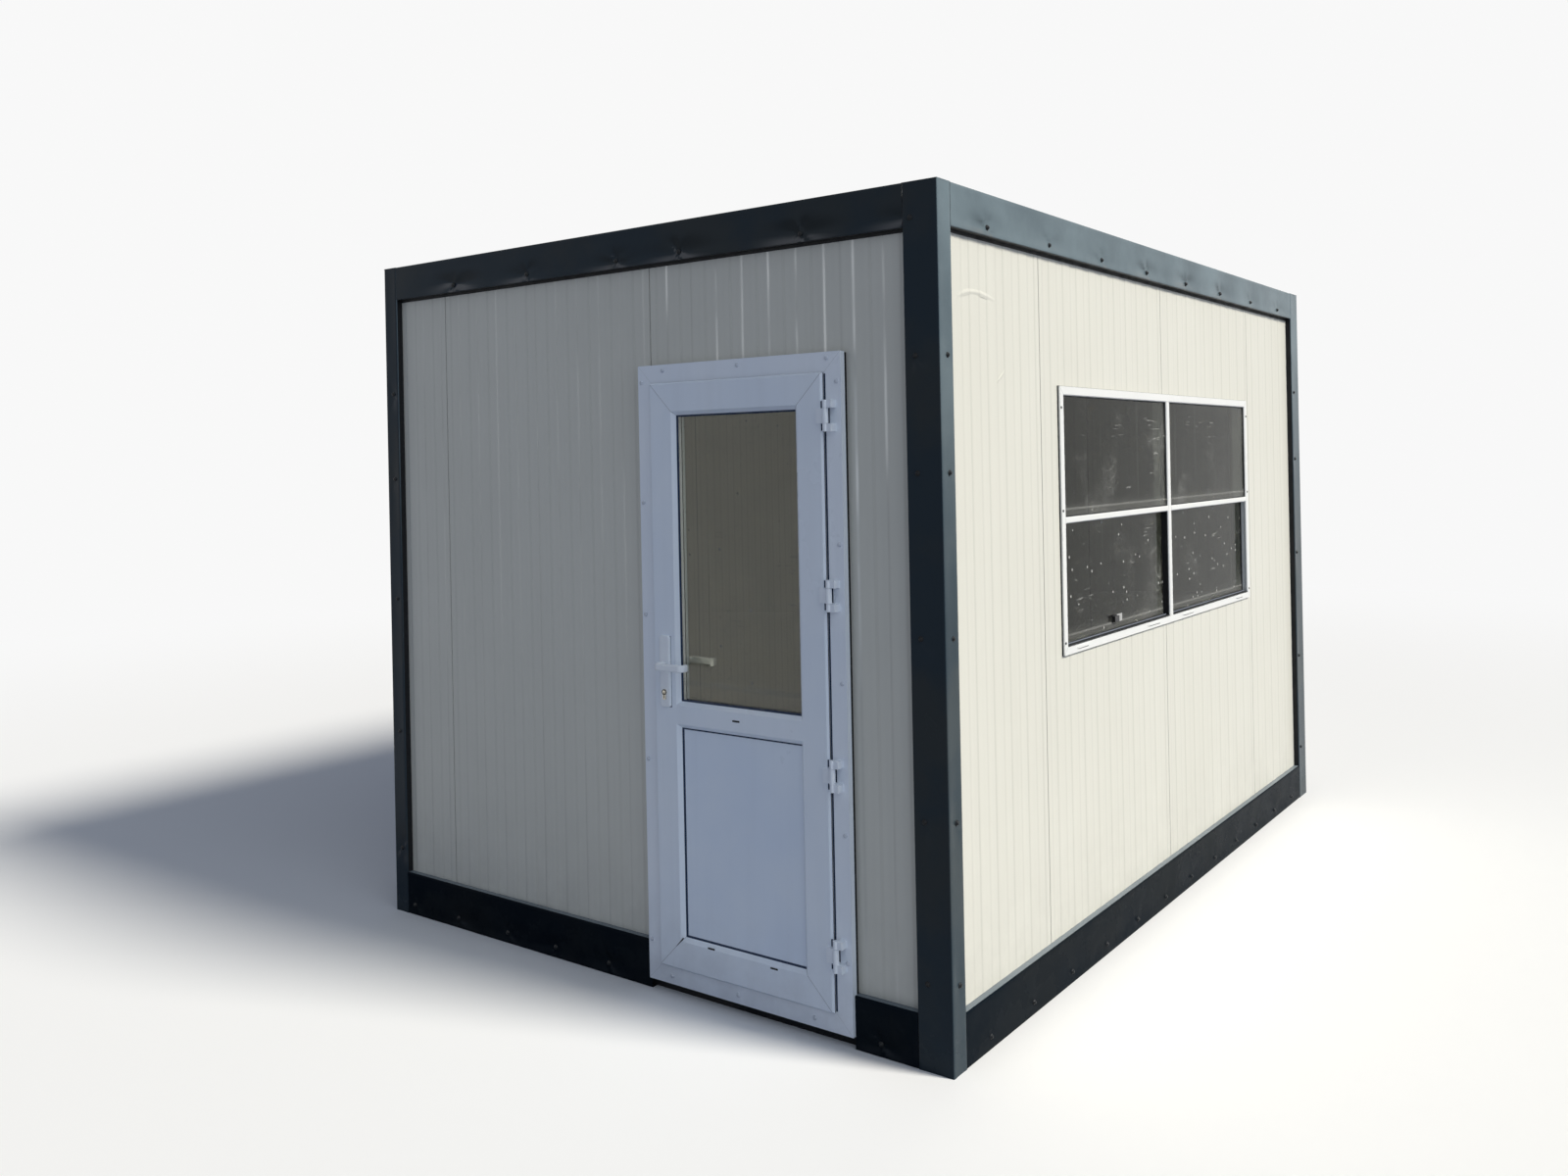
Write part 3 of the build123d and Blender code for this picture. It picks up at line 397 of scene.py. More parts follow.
def glossy_trim(name, paint, haze, dust, crease, sky_highlight, sheen=0.08):
    """Glossy dark paint on bent sheet: hazy patches, painted sky highlight on faces that look to +x, painted
    highlight and shade at the creases, dust and grime.
    """
    mix = Finish(name, IOR=1.5, Specular_IOR_Level=sheen, Specular_Tint=(0.8, 0.92, 1.0))
    worn = mix.group(weather, Patch_Scale=2.6, Streak_Scale=24.0, Splash_Height=0.2, Speck_Scale=260.0)
    slope = mix.attribute("slope")
    # Painted highlight: faces that look to +x turn towards a lighter colour, most high up and in patches
    sunny = mix.ramp(mix.facing()["X"], 0.3, 0.95)
    lofty = mix.ramp(mix.axes()["Z"], 1.0, 2.4, 0.2, 1.0)
    patchy = mix.ramp(worn["Patches"], 0.3, 0.7, 0.6, 1.0)
    deep = tuple(0.25 * part for part in paint)
    colour = mix.blend(mix.ramp(worn["Patches"], 0.42, 0.62), paint, haze)
    colour = mix.blend(mix.product(sunny, lofty, patchy), colour, sky_highlight)
    # Painted highlight where the dents' slope is positive, and painted shade, a quarter of the paint, where
    # it is negative
    colour = mix.blend(mix.ramp(slope, 0.02, 1.1, 0.0, 0.7), colour, crease)
    colour = mix.blend(mix.ramp(slope, -1.0, -0.08, 0.6, 0.0), colour, deep)
    hazy = mix.ramp(worn["Patches"], 0.3, 0.75, 0.12, 0.28)
    return mix.coat(
        Base_Color=mix.tinted(colour, (worn["Splash"], 0.12, dust), (worn["Specks"], 0.12, dust)),
        Roughness=mix.work("MULTIPLY_ADD", worn["Splash"], 0.25, hazy),
        Normal=mix.bump(mix.noise(mix.place(), 5.0, 2.0, 0.4), 0.25, 0.012),
    )


def frame_seams(low, high, axis, face, seam):
    """The axis along a frame that fills a box, and the values of its mitre seams."""
    return "XYZ"[axis], {
        "Middle": (low[axis] + high[axis]) / 2,
        "Mid_Level": (low.z + high.z) / 2,
        "Half_Width": (high[axis] - low[axis]) / 2,
        "Half_Height": (high.z - low.z) / 2,
        "Face": face,
        "Seam": seam,
    }


def moulded_plastic(name, colour, shade, grime, seams=None, seam_share=0.8):
    """Smooth moulded plastic with a slight drift of tone, dust near the ground and thin mitre seams."""
    mix = Finish(name, IOR=1.5)
    worn = mix.group(weather, Patch_Scale=3.0, Streak_Scale=20.0, Splash_Height=0.35, Speck_Scale=220.0)
    tone = mix.tinted(
        mix.blend(mix.ramp(worn["Patches"], 0.3, 0.7), colour, shade),
        (worn["Splash"], 0.22, grime),
        (worn["Streaks"], 0.06, grime),
        (worn["Specks"], 0.1, grime),
    )
    normal = mix.bump(mix.noise(mix.place(), 240.0, 2.0), 0.05, 0.0004)
    if seams:
        along, values = seams
        axes = mix.axes()
        seam = mix.group(mitre_seam, Along=axes[along], Level=axes["Z"], **values)["Seam"]
        tone = mix.tinted(tone, (seam, seam_share, (0.10, 0.11, 0.13)))
        normal = mix.bump(mix.product(seam, -1.0), 0.4, 0.0008, Normal=normal)
    rough = mix.ramp(worn["Patches"], 0.25, 0.75, 0.26, 0.38)
    return mix.coat(Base_Color=tone, Roughness=rough, Normal=normal)


def window_glass(name, tint, ior):
    """Clear tinted glass with a very slight waviness and dull smears."""
    mix = Finish(name, IOR=ior, Transmission_Weight=1.0)
    worn = mix.group(weather, Patch_Scale=4.0, Streak_Scale=26.0)
    return mix.coat(
        Base_Color=mix.blend(worn["Patches"], tint, tuple(0.8 * part for part in tint)),
        Roughness=mix.ramp(worn["Streaks"], 0.0, 1.0, 0.0, 0.05),
        Normal=mix.bump(mix.noise(mix.place(), 2.2, 1.0), 0.08, 0.01),
    )


def dust_film(name, strength):
    """Dried dust on glass, by its opacity: splashes, scratches, wiped arcs, smears and a line low down."""
    mix = Finish(name, Roughness=0.8, Specular_IOR_Level=0.1)
    worn = mix.group(weather, Patch_Scale=5.0, Streak_Scale=30.0, Speck_Scale=95.0)
    place, height = mix.place(), mix.attribute("rise")
    arcs = mix.add("TexWave", Vector=place, Scale=5.5, Distortion=11.0, Detail=3.0, Detail_Scale=1.4)
    arcs.wave_type = "RINGS"
    patchy = mix.ramp(worn["Patches"], 0.52, 0.72)
    wiped = mix.product(mix.ramp(arcs.outputs["Fac"], 0.95, 0.995), patchy)
    line = mix.ramp(mix.apart(height, 0.065), 0.004, 0.014, 1.0, 0.0)
    foot = mix.ramp(height, 0.0, 0.16, 1.0, 0.0)
    cells = mix.add("TexVoronoi", Vector=place, Scale=26.0).outputs
    chance = mix.add("SeparateColor", Color=cells["Color"]).outputs[0]
    size = mix.ramp(chance, 0.64, 1.0, 0.0, 0.16)
    bits = mix.ramp(mix.work("SUBTRACT", size, cells["Distance"]), 0.0, 0.03)
    tilted = mix.place(Rotation=(0.9, 0.0, 0.0), Scale=(1.0, 0.9, 14.0))
    drawn = mix.ramp(mix.noise(tilted, 11.0, 2.0), 0.63, 0.68)
    scratched = mix.ramp(mix.noise(place, 8.0, 2.0), 0.54, 0.64)
    layers = [
        (bits, 0.7),
        (mix.product(drawn, scratched), 0.4),
        (worn["Specks"], 0.5),
        (line, 0.22),
        (mix.product(worn["Streaks"], patchy), 0.1),
        (patchy, 0.05),
        (foot, 0.12),
    ]
    total = mix.product(wiped, 0.12)
    for mask, share in layers:
        total = mix.work("MULTIPLY_ADD", mask, share, total)
    tone = mix.blend(worn["Patches"], (0.5, 0.5, 0.46), (0.72, 0.72, 0.68))
    return mix.coat(Base_Color=tone, Alpha=mix.work("MULTIPLY", total, strength, clamp=True))


def metal_finish(name, colour, shade, metallic, low, high, grain=(1.0, 1.0, 1.0), scale=120.0, sheen=0.5):
    """Metal or paint with brushed or cast grain, a drift of tone and a roughness between two values."""
    mix = Finish(name, Metallic=metallic, Specular_IOR_Level=sheen)
    fine = mix.noise(mix.place(Scale=grain), scale, 3.0)
    worn = mix.group(weather, Patch_Scale=14.0, Speck_Scale=300.0)
    return mix.coat(
        Base_Color=mix.tinted(mix.blend(fine, colour, shade), (worn["Patches"], 0.4, shade)),
        Roughness=mix.ramp(worn["Patches"], 0.3, 0.7, low, high),
        Normal=mix.bump(fine, 0.12, 0.0003),
    )


def black_rubber(name, colour=(0.006, 0.007, 0.009), dust=(0.03, 0.03, 0.03)):
    """Matt dark rubber or foam with a fine grain and a little dust."""
    mix = Finish(name, Specular_IOR_Level=0.25)
    worn = mix.group(weather, Patch_Scale=20.0, Speck_Scale=400.0)
    return mix.coat(
        Base_Color=mix.tinted(colour, (worn["Specks"], 0.5, dust)),
        Roughness=mix.ramp(worn["Patches"], 0.3, 0.7, 0.5, 0.75),
        Normal=mix.bump(mix.noise(mix.place(), 500.0, 2.0), 0.2, 0.0003),
    )


def floor_ply(name):
    """Phenolic-faced plywood: long brown grain along the room with scuffs."""
    mix = Finish(name, IOR=1.45)
    grain = mix.noise(mix.place(Scale=(14.0, 0.8, 14.0)), 5.0, 6.0, 0.6)
    scuff = mix.noise(mix.place(), 3.0, 6.0, 0.7)
    tone = mix.blend(grain, (0.16, 0.1, 0.06), (0.34, 0.24, 0.15))
    return mix.coat(
        Base_Color=mix.blend(mix.ramp(scuff, 0.5, 0.8, 0.0, 0.4), tone, (0.3, 0.28, 0.25)),
        Roughness=mix.ramp(scuff, 0.3, 0.8, 0.4, 0.7),
        Normal=mix.bump(grain, 0.15, 0.001),
    )


def latch_finish(name, split):
    """Black grip and bare metal plate of the latch, parted at a place along the wall."""
    mix = Finish(name)
    plate = mix.work("GREATER_THAN", mix.axes()["Y"], split)
    worn = mix.group(weather, Patch_Scale=40.0, Speck_Scale=500.0)
    metal = mix.blend(worn["Patches"], (0.62, 0.62, 0.6), (0.42, 0.42, 0.41))
    return mix.coat(
        Base_Color=mix.blend(plate, (0.008, 0.008, 0.009), metal),
        Metallic=mix.product(plate, 0.9),
        Roughness=mix.ramp(worn["Patches"], 0.3, 0.7, 0.25, 0.45),
        Normal=mix.bump(mix.noise(mix.place(), 300.0), 0.1, 0.0004),
    )


# Middles of the wall panels' grooves: half a pitch off the first joint of the front and of the right wall
half_joint = 0.001
front_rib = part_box("front_wall_left")[1].x + half_joint + rib_pitch / 2
side_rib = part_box("right_wall_window_front")[0].y - half_joint + rib_pitch / 2

panel_paint = painted_panel(
    "panel_paint", paint=(0.685, 0.673, 0.600), shade=(0.645, 0.633, 0.564), grime=(0.38, 0.37, 0.33),
    splash=0.6, starts=(front_rib, side_rib), glint_from=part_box("front_wall_middle")[1].x,
)
roof_paint = painted_panel(
    "roof_paint", paint=(0.66, 0.66, 0.63), shade=(0.56, 0.56, 0.53), grime=(0.26, 0.25, 0.22), splash=0.3
)
trim_paint = glossy_trim(
    "trim_paint", paint=(0.018, 0.030, 0.041), haze=(0.030, 0.036, 0.039), dust=(0.10, 0.10, 0.096),
    crease=(0.20, 0.19, 0.18), sky_highlight=(0.165, 0.215, 0.24),
)
# Painted shade: the skirts in a near-black copy of the trim paint, with little sheen, as a painted reflection
# of dark ground
skirt_shade_paint = glossy_trim(
    "skirt_shade_paint", paint=(0.004, 0.008, 0.013), haze=(0.008, 0.011, 0.014), dust=(0.06, 0.06, 0.058),
    crease=(0.04, 0.045, 0.05), sky_highlight=(0.007, 0.011, 0.015), sheen=0.012,
)
# Painted highlight: the skirts' level ledge in a paint much lighter than the skirt's, as a painted reflection
# of the sky
ledge_highlight_paint = glossy_trim(
    "ledge_highlight_paint", paint=(0.17, 0.20, 0.225), haze=(0.21, 0.24, 0.265), dust=(0.24, 0.24, 0.23),
    crease=(0.24, 0.26, 0.28), sky_highlight=(0.2, 0.23, 0.25),
)
base_paint = glossy_trim(
    "base_paint", paint=(0.02, 0.021, 0.023), haze=(0.03, 0.03, 0.03), dust=(0.1, 0.085, 0.065),
    crease=(0.05, 0.05, 0.05), sky_highlight=(0.04, 0.04, 0.04),
)
door_grime = (0.4, 0.41, 0.42)
leaf_plastic = moulded_plastic(
    "leaf_plastic", (0.87, 0.93, 1.0), (0.82, 0.89, 0.98), door_grime,
    frame_seams(leaf_low, leaf_high, axis=0, face=leaf_face, seam=0.0016),
)
infill_plastic = moulded_plastic(
    "infill_plastic", (0.82, 0.90, 1.0), (0.77, 0.86, 0.99), (0.38, 0.40, 0.43)
)
door_frame_plastic = moulded_plastic(
    "door_frame_plastic", (0.90, 0.945, 1.0), (0.85, 0.905, 0.98), door_grime,
    frame_seams(jamb_low, jamb_high, axis=0, face=jamb_face, seam=0.0014), seam_share=0.3,
)
handle_plastic = moulded_plastic("handle_plastic", (0.93, 0.965, 1.0), (0.89, 0.935, 0.985), door_grime)
# Painted shade: the rivet caps a tone darker than the flange's plastic
rivet_plastic = moulded_plastic("rivet_plastic", (0.66, 0.70, 0.77), (0.58, 0.62, 0.69), (0.35, 0.36, 0.37))
window_plastic = moulded_plastic(
    "window_plastic", (0.79, 0.79, 0.77), (0.76, 0.765, 0.745), (0.5, 0.48, 0.43),
    frame_seams(window_low, window_high, axis=1, face=window_face, seam=0.0012),
)
door_pane = window_glass("door_pane", tint=(0.9, 0.91, 0.83), ior=1.43)
side_pane = window_glass("side_pane", tint=(0.39, 0.405, 0.36), ior=1.18)
side_film = dust_film("side_film", strength=0.8)
door_film = dust_film("door_film", strength=0.35)
rubber = black_rubber("rubber")
# Painted shade: a matt black finish for the trims' folds and cut edges, which are of the trim's own paint
recess_shade_paint = black_rubber("recess_shade_paint")
leaf_rubber = black_rubber("leaf_rubber", (0.012, 0.025, 0.06), (0.03, 0.04, 0.06))
seal_grey = metal_finish("seal_grey", (0.2, 0.22, 0.27), (0.15, 0.17, 0.21), 0.0, 0.5, 0.7)
spacer_grey = metal_finish("spacer_grey", (0.8, 0.83, 0.86), (0.7, 0.73, 0.76), 0.0, 0.35, 0.5)
screw_paint = metal_finish(
    "screw_paint", (0.016, 0.019, 0.023), (0.008, 0.01, 0.012), 0.0, 0.2, 0.34, sheen=0.14
)
lock_steel = metal_finish("lock_steel", (0.6, 0.57, 0.5), (0.42, 0.4, 0.35), 1.0, 0.22, 0.38)
lever_silver = metal_finish(
    "lever_silver", (0.95, 0.95, 0.94), (0.86, 0.86, 0.85), 0.1, 0.2, 0.34, grain=(0.1, 1.0, 1.0), scale=220.0
)
deck_ply = floor_ply("deck_ply")
latch_mix = latch_finish("latch_mix", split=latch_low.y + 0.036)

finish_of = {}
for name in nodes:
    if "_wall_" in name:
        finish_of[name] = panel_paint
    elif name.startswith("window_"):
        finish_of[name] = window_plastic
    elif name.startswith("door_frame"):
        finish_of[name] = door_frame_plastic
    elif name.startswith(("corner_post", "front_", "right_", "back_", "left_")):
        finish_of[name] = trim_paint
    elif name.startswith("base_") or name == "floor_joists":
        finish_of[name] = base_paint
    else:
        finish_of[name] = leaf_plastic
finish_of.update(
    roof_panels=roof_paint,
    floor_board=deck_ply,
    door_glass=door_pane,
    door_lower_panel=infill_plastic,
    window_panes=side_pane,
    window_latch=latch_mix,
    lock_cylinder=lock_steel,
    lever_inside=lever_silver,
    hinge_frame_knuckles=door_frame_plastic,
    hinge_leaf_knuckles=door_frame_plastic,
    handle_plates=handle_plastic,
    lever_outside=handle_plastic,
)
for name, finish in finish_of.items():
    nodes[name].data.materials.clear()
    nodes[name].data.materials.append(finish)

# Screws: heights on the posts, distances from the corner, and places along the front's trims
post_heights = np.array([1.907, 1.594, 1.153, 0.665, 0.234])
short_leg_line, long_leg_line = 0.041, 0.077
fascia_line, skirt_line = fascia_level + 0.024, 0.036
fascia_gap, skirt_gap = 0.41, 0.27
front_fascia_spots = np.array([0.395, 0.779, 1.198, 1.465, 1.928, width - 0.086])
front_skirt_spots = np.array([0.11, 0.358, 0.619, 0.858, 1.106, 2.15])


def row_spots(length, gap):
    """Even places along a trim, about one gap apart, clear of the posts."""
    return np.linspace(short_leg + gap / 2, length - long_leg - gap / 2, max(2, round(length / gap)))


def side_screws(side):
    """Places of the screws on one side: the posts' two rows, the fascia's row and the skirt's row."""
    length = lengths[side]
    fascia_spots = front_fascia_spots if side == "front" else row_spots(length, fascia_gap)
    skirt_spots = front_skirt_spots if side == "front" else row_spots(length, skirt_gap)
    rows = [
        (np.full(len(post_heights), short_leg_line), post_heights),
        (np.full(len(post_heights), length - long_leg_line), post_heights),
        (fascia_spots, np.full(len(fascia_spots), fascia_line)),
        (skirt_spots, np.full(len(skirt_spots), skirt_line)),
    ]
    along, level = (np.concatenate(parts) for parts in zip(*rows))
    return on_side(side, along, 0.0, level)


screw_places = {side: side_screws(side) for side in sides}

# Bent-sheet trims: the length of a mesh step on each side, the dents at the screws and the swell of the sheet
steps = {"front": 0.009, "right": 0.011, "back": 0.02, "left": 0.02}
post_dent, fascia_dent, skirt_dent = 0.0011, 0.0026, 0.0012
post_spread, level_spread = (0.03, 0.03, 0.035), (0.085, 0.085, 0.024)
swell_height, swell_middle = 0.00035, 2.2
edge_fade = 0.02
full_slope, side_slope = 0.06, 0.45


def bend_line(corners, step):
    """Line with round bends: even steps on the straight runs, and quarter arcs tangent to them at corners.

    Gives its points, the normals to the right of the way, a weight that is 1 on the flats and fades out
    at the bends, and the number of the run that each point lies on.
    """
    corners = np.array(corners, float)
    ways = np.diff(corners, axis=0)
    ways /= np.linalg.norm(ways, axis=1)[:, None]
    spots, tangents, flats, runs = [], [], [], []
    for index, way in enumerate(ways):
        start = corners[index] + (bend * way if index else 0.0)
        end = corners[index + 1] - (bend * way if index < len(ways) - 1 else 0.0)
        run = np.linalg.norm(end - start)
        share = np.linspace(0.0, 1.0, max(2, int(run / step) + 1))[:, None]
        spots.append(start + share * (end - start))
        tangents.append(np.repeat(way[None], len(share), axis=0))
        edge = np.clip(np.minimum(share, 1.0 - share)[:, 0] * run / edge_fade, 0.0, 1.0)
        flats.append(edge * edge * (3.0 - 2.0 * edge))
        runs.append(np.full(len(share), index))
        if index < len(ways) - 1:
            turn = np.linspace(0.0, math.pi / 2, 6)[1:-1, None]
            middle = corners[index + 1] + bend * (ways[index + 1] - way)
            spots.append(middle - bend * np.cos(turn) * ways[index + 1] + bend * np.sin(turn) * way)
            tangents.append(np.cos(turn) * way + np.sin(turn) * ways[index + 1])
            flats.append(np.zeros(len(turn)))
            runs.append(np.full(len(turn), -1))
    tangents = np.concatenate(tangents)
    normals = np.stack([tangents[:, 1], -tangents[:, 0]], axis=1)
    return np.concatenate(spots), normals, np.concatenate(flats), np.concatenate(runs)


def bent_trim(name, side, corners, upright, folds, start, end, dent, screws, seed, paint, ledge=None):
    """Bent line carried along a straight way, and pushed in on its flats.

    The push is a creased dent at each screw, more or less deep: it falls off as exp(-r^2 / 2 s^2) with
    the distance r, and three and five creases run out from the screw as cosines of the bearing. A low
    swell of three sines along the way is added. The folds are the runs of the line that lie in the
    recess, and a ledge is a run that lies level.
    """
    line, normals, flat, runs = bend_line(corners, steps[side])
    way = np.linspace(start, end, max(2, int((end - start) / steps[side]) + 1))[:, None]

    def laid(push):
        """The line pushed along its normals and carried along the way."""
        first, second = (line[:, axis] + normals[:, axis] * push for axis in (0, 1))
        return on_side(side, first, second, way) if upright else on_side(side, way, first, second)

    apart = laid(0.0)[:, :, None, :] - screws
    luck = np.random.default_rng(int(seed))
    uneven = luck.uniform(0.4, 1.5, len(screws))
    turn_three, turn_five = luck.uniform(0.0, full_turn, (2, len(screws)))
    spread = post_spread if upright else level_spread
    near = np.exp(-(apart ** 2 / (2 * np.square(spread))).sum(-1))
    bearing = np.arctan2(apart[..., 2], apart[..., 0] + apart[..., 1])
    star = 1.0 + 0.25 * np.cos(3 * bearing + turn_three) + 0.2 * np.cos(5 * bearing + turn_five)
    pressed = dent * (uneven * near * star).sum(-1)
    across = np.linspace(0.0, 1.0, len(line))
    swell = (
        np.sin(way * 9.1 + seed)
        + 0.7 * np.sin(way * 17.3 + 2.1 * seed + 3.0 * across)
        + 0.5 * np.sin(way * 31.0 + 0.7 * seed - 5.0 * across)
    )
    points = laid(flat * (pressed + swell_height * (swell + swell_middle)))
    piece = add_piece(name, points, grid_faces(*points.shape[:2]), paint)
    mesh = piece.data
    # The slope of the dents, by which the paint gets a painted highlight or painted shade at its creases
    reach = np.concatenate([[0.0], np.cumsum(np.linalg.norm(np.diff(line, axis=0), axis=1))])
    lengthwise, crosswise = np.gradient(pressed, way[:, 0], reach)
    lengthwise_share, crosswise_share = (0.6, 0.4) if upright else (0.5, 0.7)
    slope = (lengthwise_share * lengthwise + crosswise_share * crosswise) / full_slope
    slope *= 1.0 if side == "front" else side_slope
    mesh.attributes.new("slope", "FLOAT", "POINT").data.foreach_set("value", slope.ravel())
    # The sheet's rim is a hard edge: both ends of an edge lie in the first or last row or column of the grid
    edges = np.empty(2 * len(mesh.edges), np.int32)
    mesh.edges.foreach_get("vertices", edges)
    rows, columns = np.divmod(edges.reshape(-1, 2), len(line))
    rim = [(rows == 0), (rows == len(way) - 1), (columns == 0), (columns == len(line) - 1)]
    mesh.edges.foreach_set("use_edge_sharp", np.any([edge.all(axis=1) for edge in rim], axis=0))
    # The folds take a matt black finish as painted shade, and the ledge a lighter paint as painted highlight;
    # each cut edge takes the finish after the one of its run, so the cut edges of the paint and the folds get
    # the painted shade too
    for finish in (recess_shade_paint, recess_shade_paint, ledge_highlight_paint):
        mesh.materials.append(finish)
    shaded = np.isin(runs[:-1], folds) & np.isin(runs[1:], folds)
    level = (runs[:-1] == ledge) & (runs[1:] == ledge)
    mesh.polygons.foreach_set("material_index", np.tile(shaded + 3 * level, len(way) - 1).astype(np.int32))
    thicken(piece, rim_shift=1)
    return piece


post_corners = [(short_leg, stand_off), (short_leg, 0), (0, 0), (0, long_leg), (stand_off, long_leg)]
fascia_corners = [(stand_off, fascia_level), (0, fascia_level), (0, roof_level), (short_leg, roof_level)]
skirt_corners = [(stand_off, 0), (0, 0), (0, skirt_level), (stand_off, skirt_level)]
door_edges = (jamb_low.x - west, jamb_high.x - west)
post_names = {
    "right": "corner_post_front_right",
    "front": "corner_post_front_left",
    "left": "corner_post_back_left",
    "back": "corner_post_back_right",
}
before = {"right": "front", "front": "left", "left": "back", "back": "right"}
for number, side in enumerate(sides):
    screws = screw_places[side]
    around = np.concatenate([screws, screw_places[before[side]]])
    post = bent_trim(
        post_names[side] + "_sheet", side, post_corners, True, (0, 3), 0.0, roof_level - sheet, post_dent,
        around, number, trim_paint,
    )
    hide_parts(post_names[side])
    start, end = short_leg, lengths[side] - long_leg
    fascia = bent_trim(
        side + "_fascia_sheet", side, fascia_corners, False, (0,), start, end, fascia_dent, screws,
        number + 4.0, trim_paint,
    )
    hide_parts(side + "_fascia")
    skirts = {side + "_skirt_sheet": (start, end)}
    if side == "front":
        skirts = {"front_skirt_sheet_a": (start, door_edges[0]), "front_skirt_sheet_b": (door_edges[1], end)}
    for part, (name, run) in enumerate(skirts.items()):
        skirt = bent_trim(
            name, side, skirt_corners, False, (0,), *run, skirt_dent, screws, number + 8.0 + part,
            skirt_shade_paint, ledge=2,
        )
        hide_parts("front_skirts" if side == "front" else side + "_skirt")


def corner_caps(side, spans):
    """Flat plates over the posts' tops: level rectangles along a side, as wide as the fascia's cap."""
    share = np.linspace(0.0, 1.0, 2)
    for number, (start, end) in enumerate(spans):
        points = on_side(side, start + share * (end - start), share[:, None] * short_leg, roof_level)
        faces = grid_faces(2, 2)[:, ::-1]
        plate = add_piece(f"{side}_cap_{number}", points, faces, trim_paint, smooth=False)
        thicken(plate)


for side in ("front", "back"):
    corner_caps(side, [(0.0, short_leg), (width - long_leg, width)])
for side in ("right", "left"):
    corner_caps(side, [(depth - long_leg, depth - short_leg)])

# Turned heads: screws and rivets


def turned_heads(name, places, outward, profile, turns, material, body="cabin"):
    """Profile of radius and height turned about an outward line at each place: round by cosine and sine."""
    places, outward = np.array(places, float), np.array(outward, float)
    angle = round_angles(turns)
    ring = np.cos(angle) * np.cross(upwards, outward) + np.sin(angle) * upwards
    radius, height = np.array(profile, float).T[:, :, None]
    points = places[:, None, None, :] + ring[:, None, :] * radius + outward * height
    one = grid_faces(turns, len(profile), close_rows=True)
    count = turns * len(profile)
    faces = (one + count * np.arange(len(places))[:, None, None]).reshape(-1, 4)
    return add_piece(name, points, faces, material, body, weld=True)


screw_profile = [
    (0.0078, -0.003), (0.0078, 0.0008), (0.0058, 0.0016), (0.0052, 0.0018), (0.0050, 0.0046),
    (0.0034, 0.0056), (0.0, 0.0058),
]
rivet_profile = [(0.0068, -0.001), (0.0068, 0.0012), (0.0060, 0.0030), (0.0040, 0.0044), (0.0, 0.0050)]
small_screw_profile = [(0.0048, -0.001), (0.0046, 0.0008), (0.003, 0.0016), (0.0, 0.0018)]
screw_sink = 0.0012
for side, places in screw_places.items():
    into = sides[side][2]
    turned_heads(side + "_screws", places + screw_sink * into, -into, screw_profile, 12, screw_paint)

flange_front = jamb_low.y
rivet_places = (
    [(0.120, flange_front, z) for z in (1.884, 1.513, 1.166, 0.718, 0.159)]
    + [(x, flange_front, 1.918) for x in (0.210, 0.506, 0.829)]
    + [(0.862, flange_front, z) for z in (1.852, 1.399, 1.014, 0.593, 0.239)]
    + [(x, flange_front, 0.062) for x in (0.202, 0.464, 0.745)]
)
turned_heads("flange_rivets", rivet_places, (0, -1, 0), rivet_profile, 14, rivet_plastic)
window_front = window_high.x
screw_inset = 0.009
window_edges = (window_low.y + screw_inset, window_high.y - screw_inset)
window_screws = [(window_front, y, z) for y in window_edges for z in (1.783, 1.46, 1.046)]
turned_heads("window_screws", window_screws, (1, 0, 0), small_screw_profile, 12, screw_paint)

# Seals and slots


def box_profile(low, high, start, end):
    """Corners of a rectangular profile: low to high one way, and start to end the other way."""
    return [(low, start), (high, start), (high, end), (low, end)]


def bead_profile(line, out, lap, reach, foot, tip):
    """Profile of a glazing bead that laps under the frame and slopes from its foot to its tip on the glass.

    The glass has its face on the line, and out is 1 or -1, the way from the glass to the open air.
    """
    back = line - out * 0.0004
    return [(-lap, line + out * foot), (reach, line + out * tip), (reach, back), (-lap, back)]


def corner_loop(name, side, left, right, bottom, top, profile, material, body="cabin"):
    """Closed profile carried round a rectangle with mitred corners; each point runs on its own rectangle."""
    across, inward = np.array(profile, float).T
    along = np.stack([left + across, right - across, right - across, left + across])
    level = np.stack([bottom + across, bottom + across, top - across, top - across])
    points = on_side(side, along, inward, level)
    faces = grid_faces(4, len(profile), close_rows=True, close_columns=True)
    return add_piece(name, points, faces, material, body, smooth=False, weld=True)


def flat_strip(name, side, left, right, bottom, top, inward, material, body="cabin"):
    """Flat upright rectangle on a side, with a rim that goes back a millimetre."""
    across = np.array([0.0, 0.0, 1.0, 1.0])
    set_back = np.array([0.001, 0.0, 0.0, 0.001])
    points = on_side(
        side,
        left + across[:, None] * (right - left),
        inward + np.maximum(set_back[:, None], set_back),
        bottom + across * (top - bottom),
    )
    return add_piece(name, points, grid_faces(4, 4), material, body, smooth=False)


def straight_bar(name, side, profile, upright, start, end, material, body="cabin"):
    """Closed profile carried straight from a start to an end, up the side or along it, with flat ends."""
    first, second = np.array(profile, float).T
    way = np.array([[start], [end]])
    points = on_side(side, first, second, way) if upright else on_side(side, way, first, second)
    count = len(profile)
    ends = [list(range(count)), list(range(count, 2 * count))]
    faces = grid_faces(2, count, close_columns=True).tolist() + ends
    return add_piece(name, points, faces, material, body, smooth=False, weld=True)


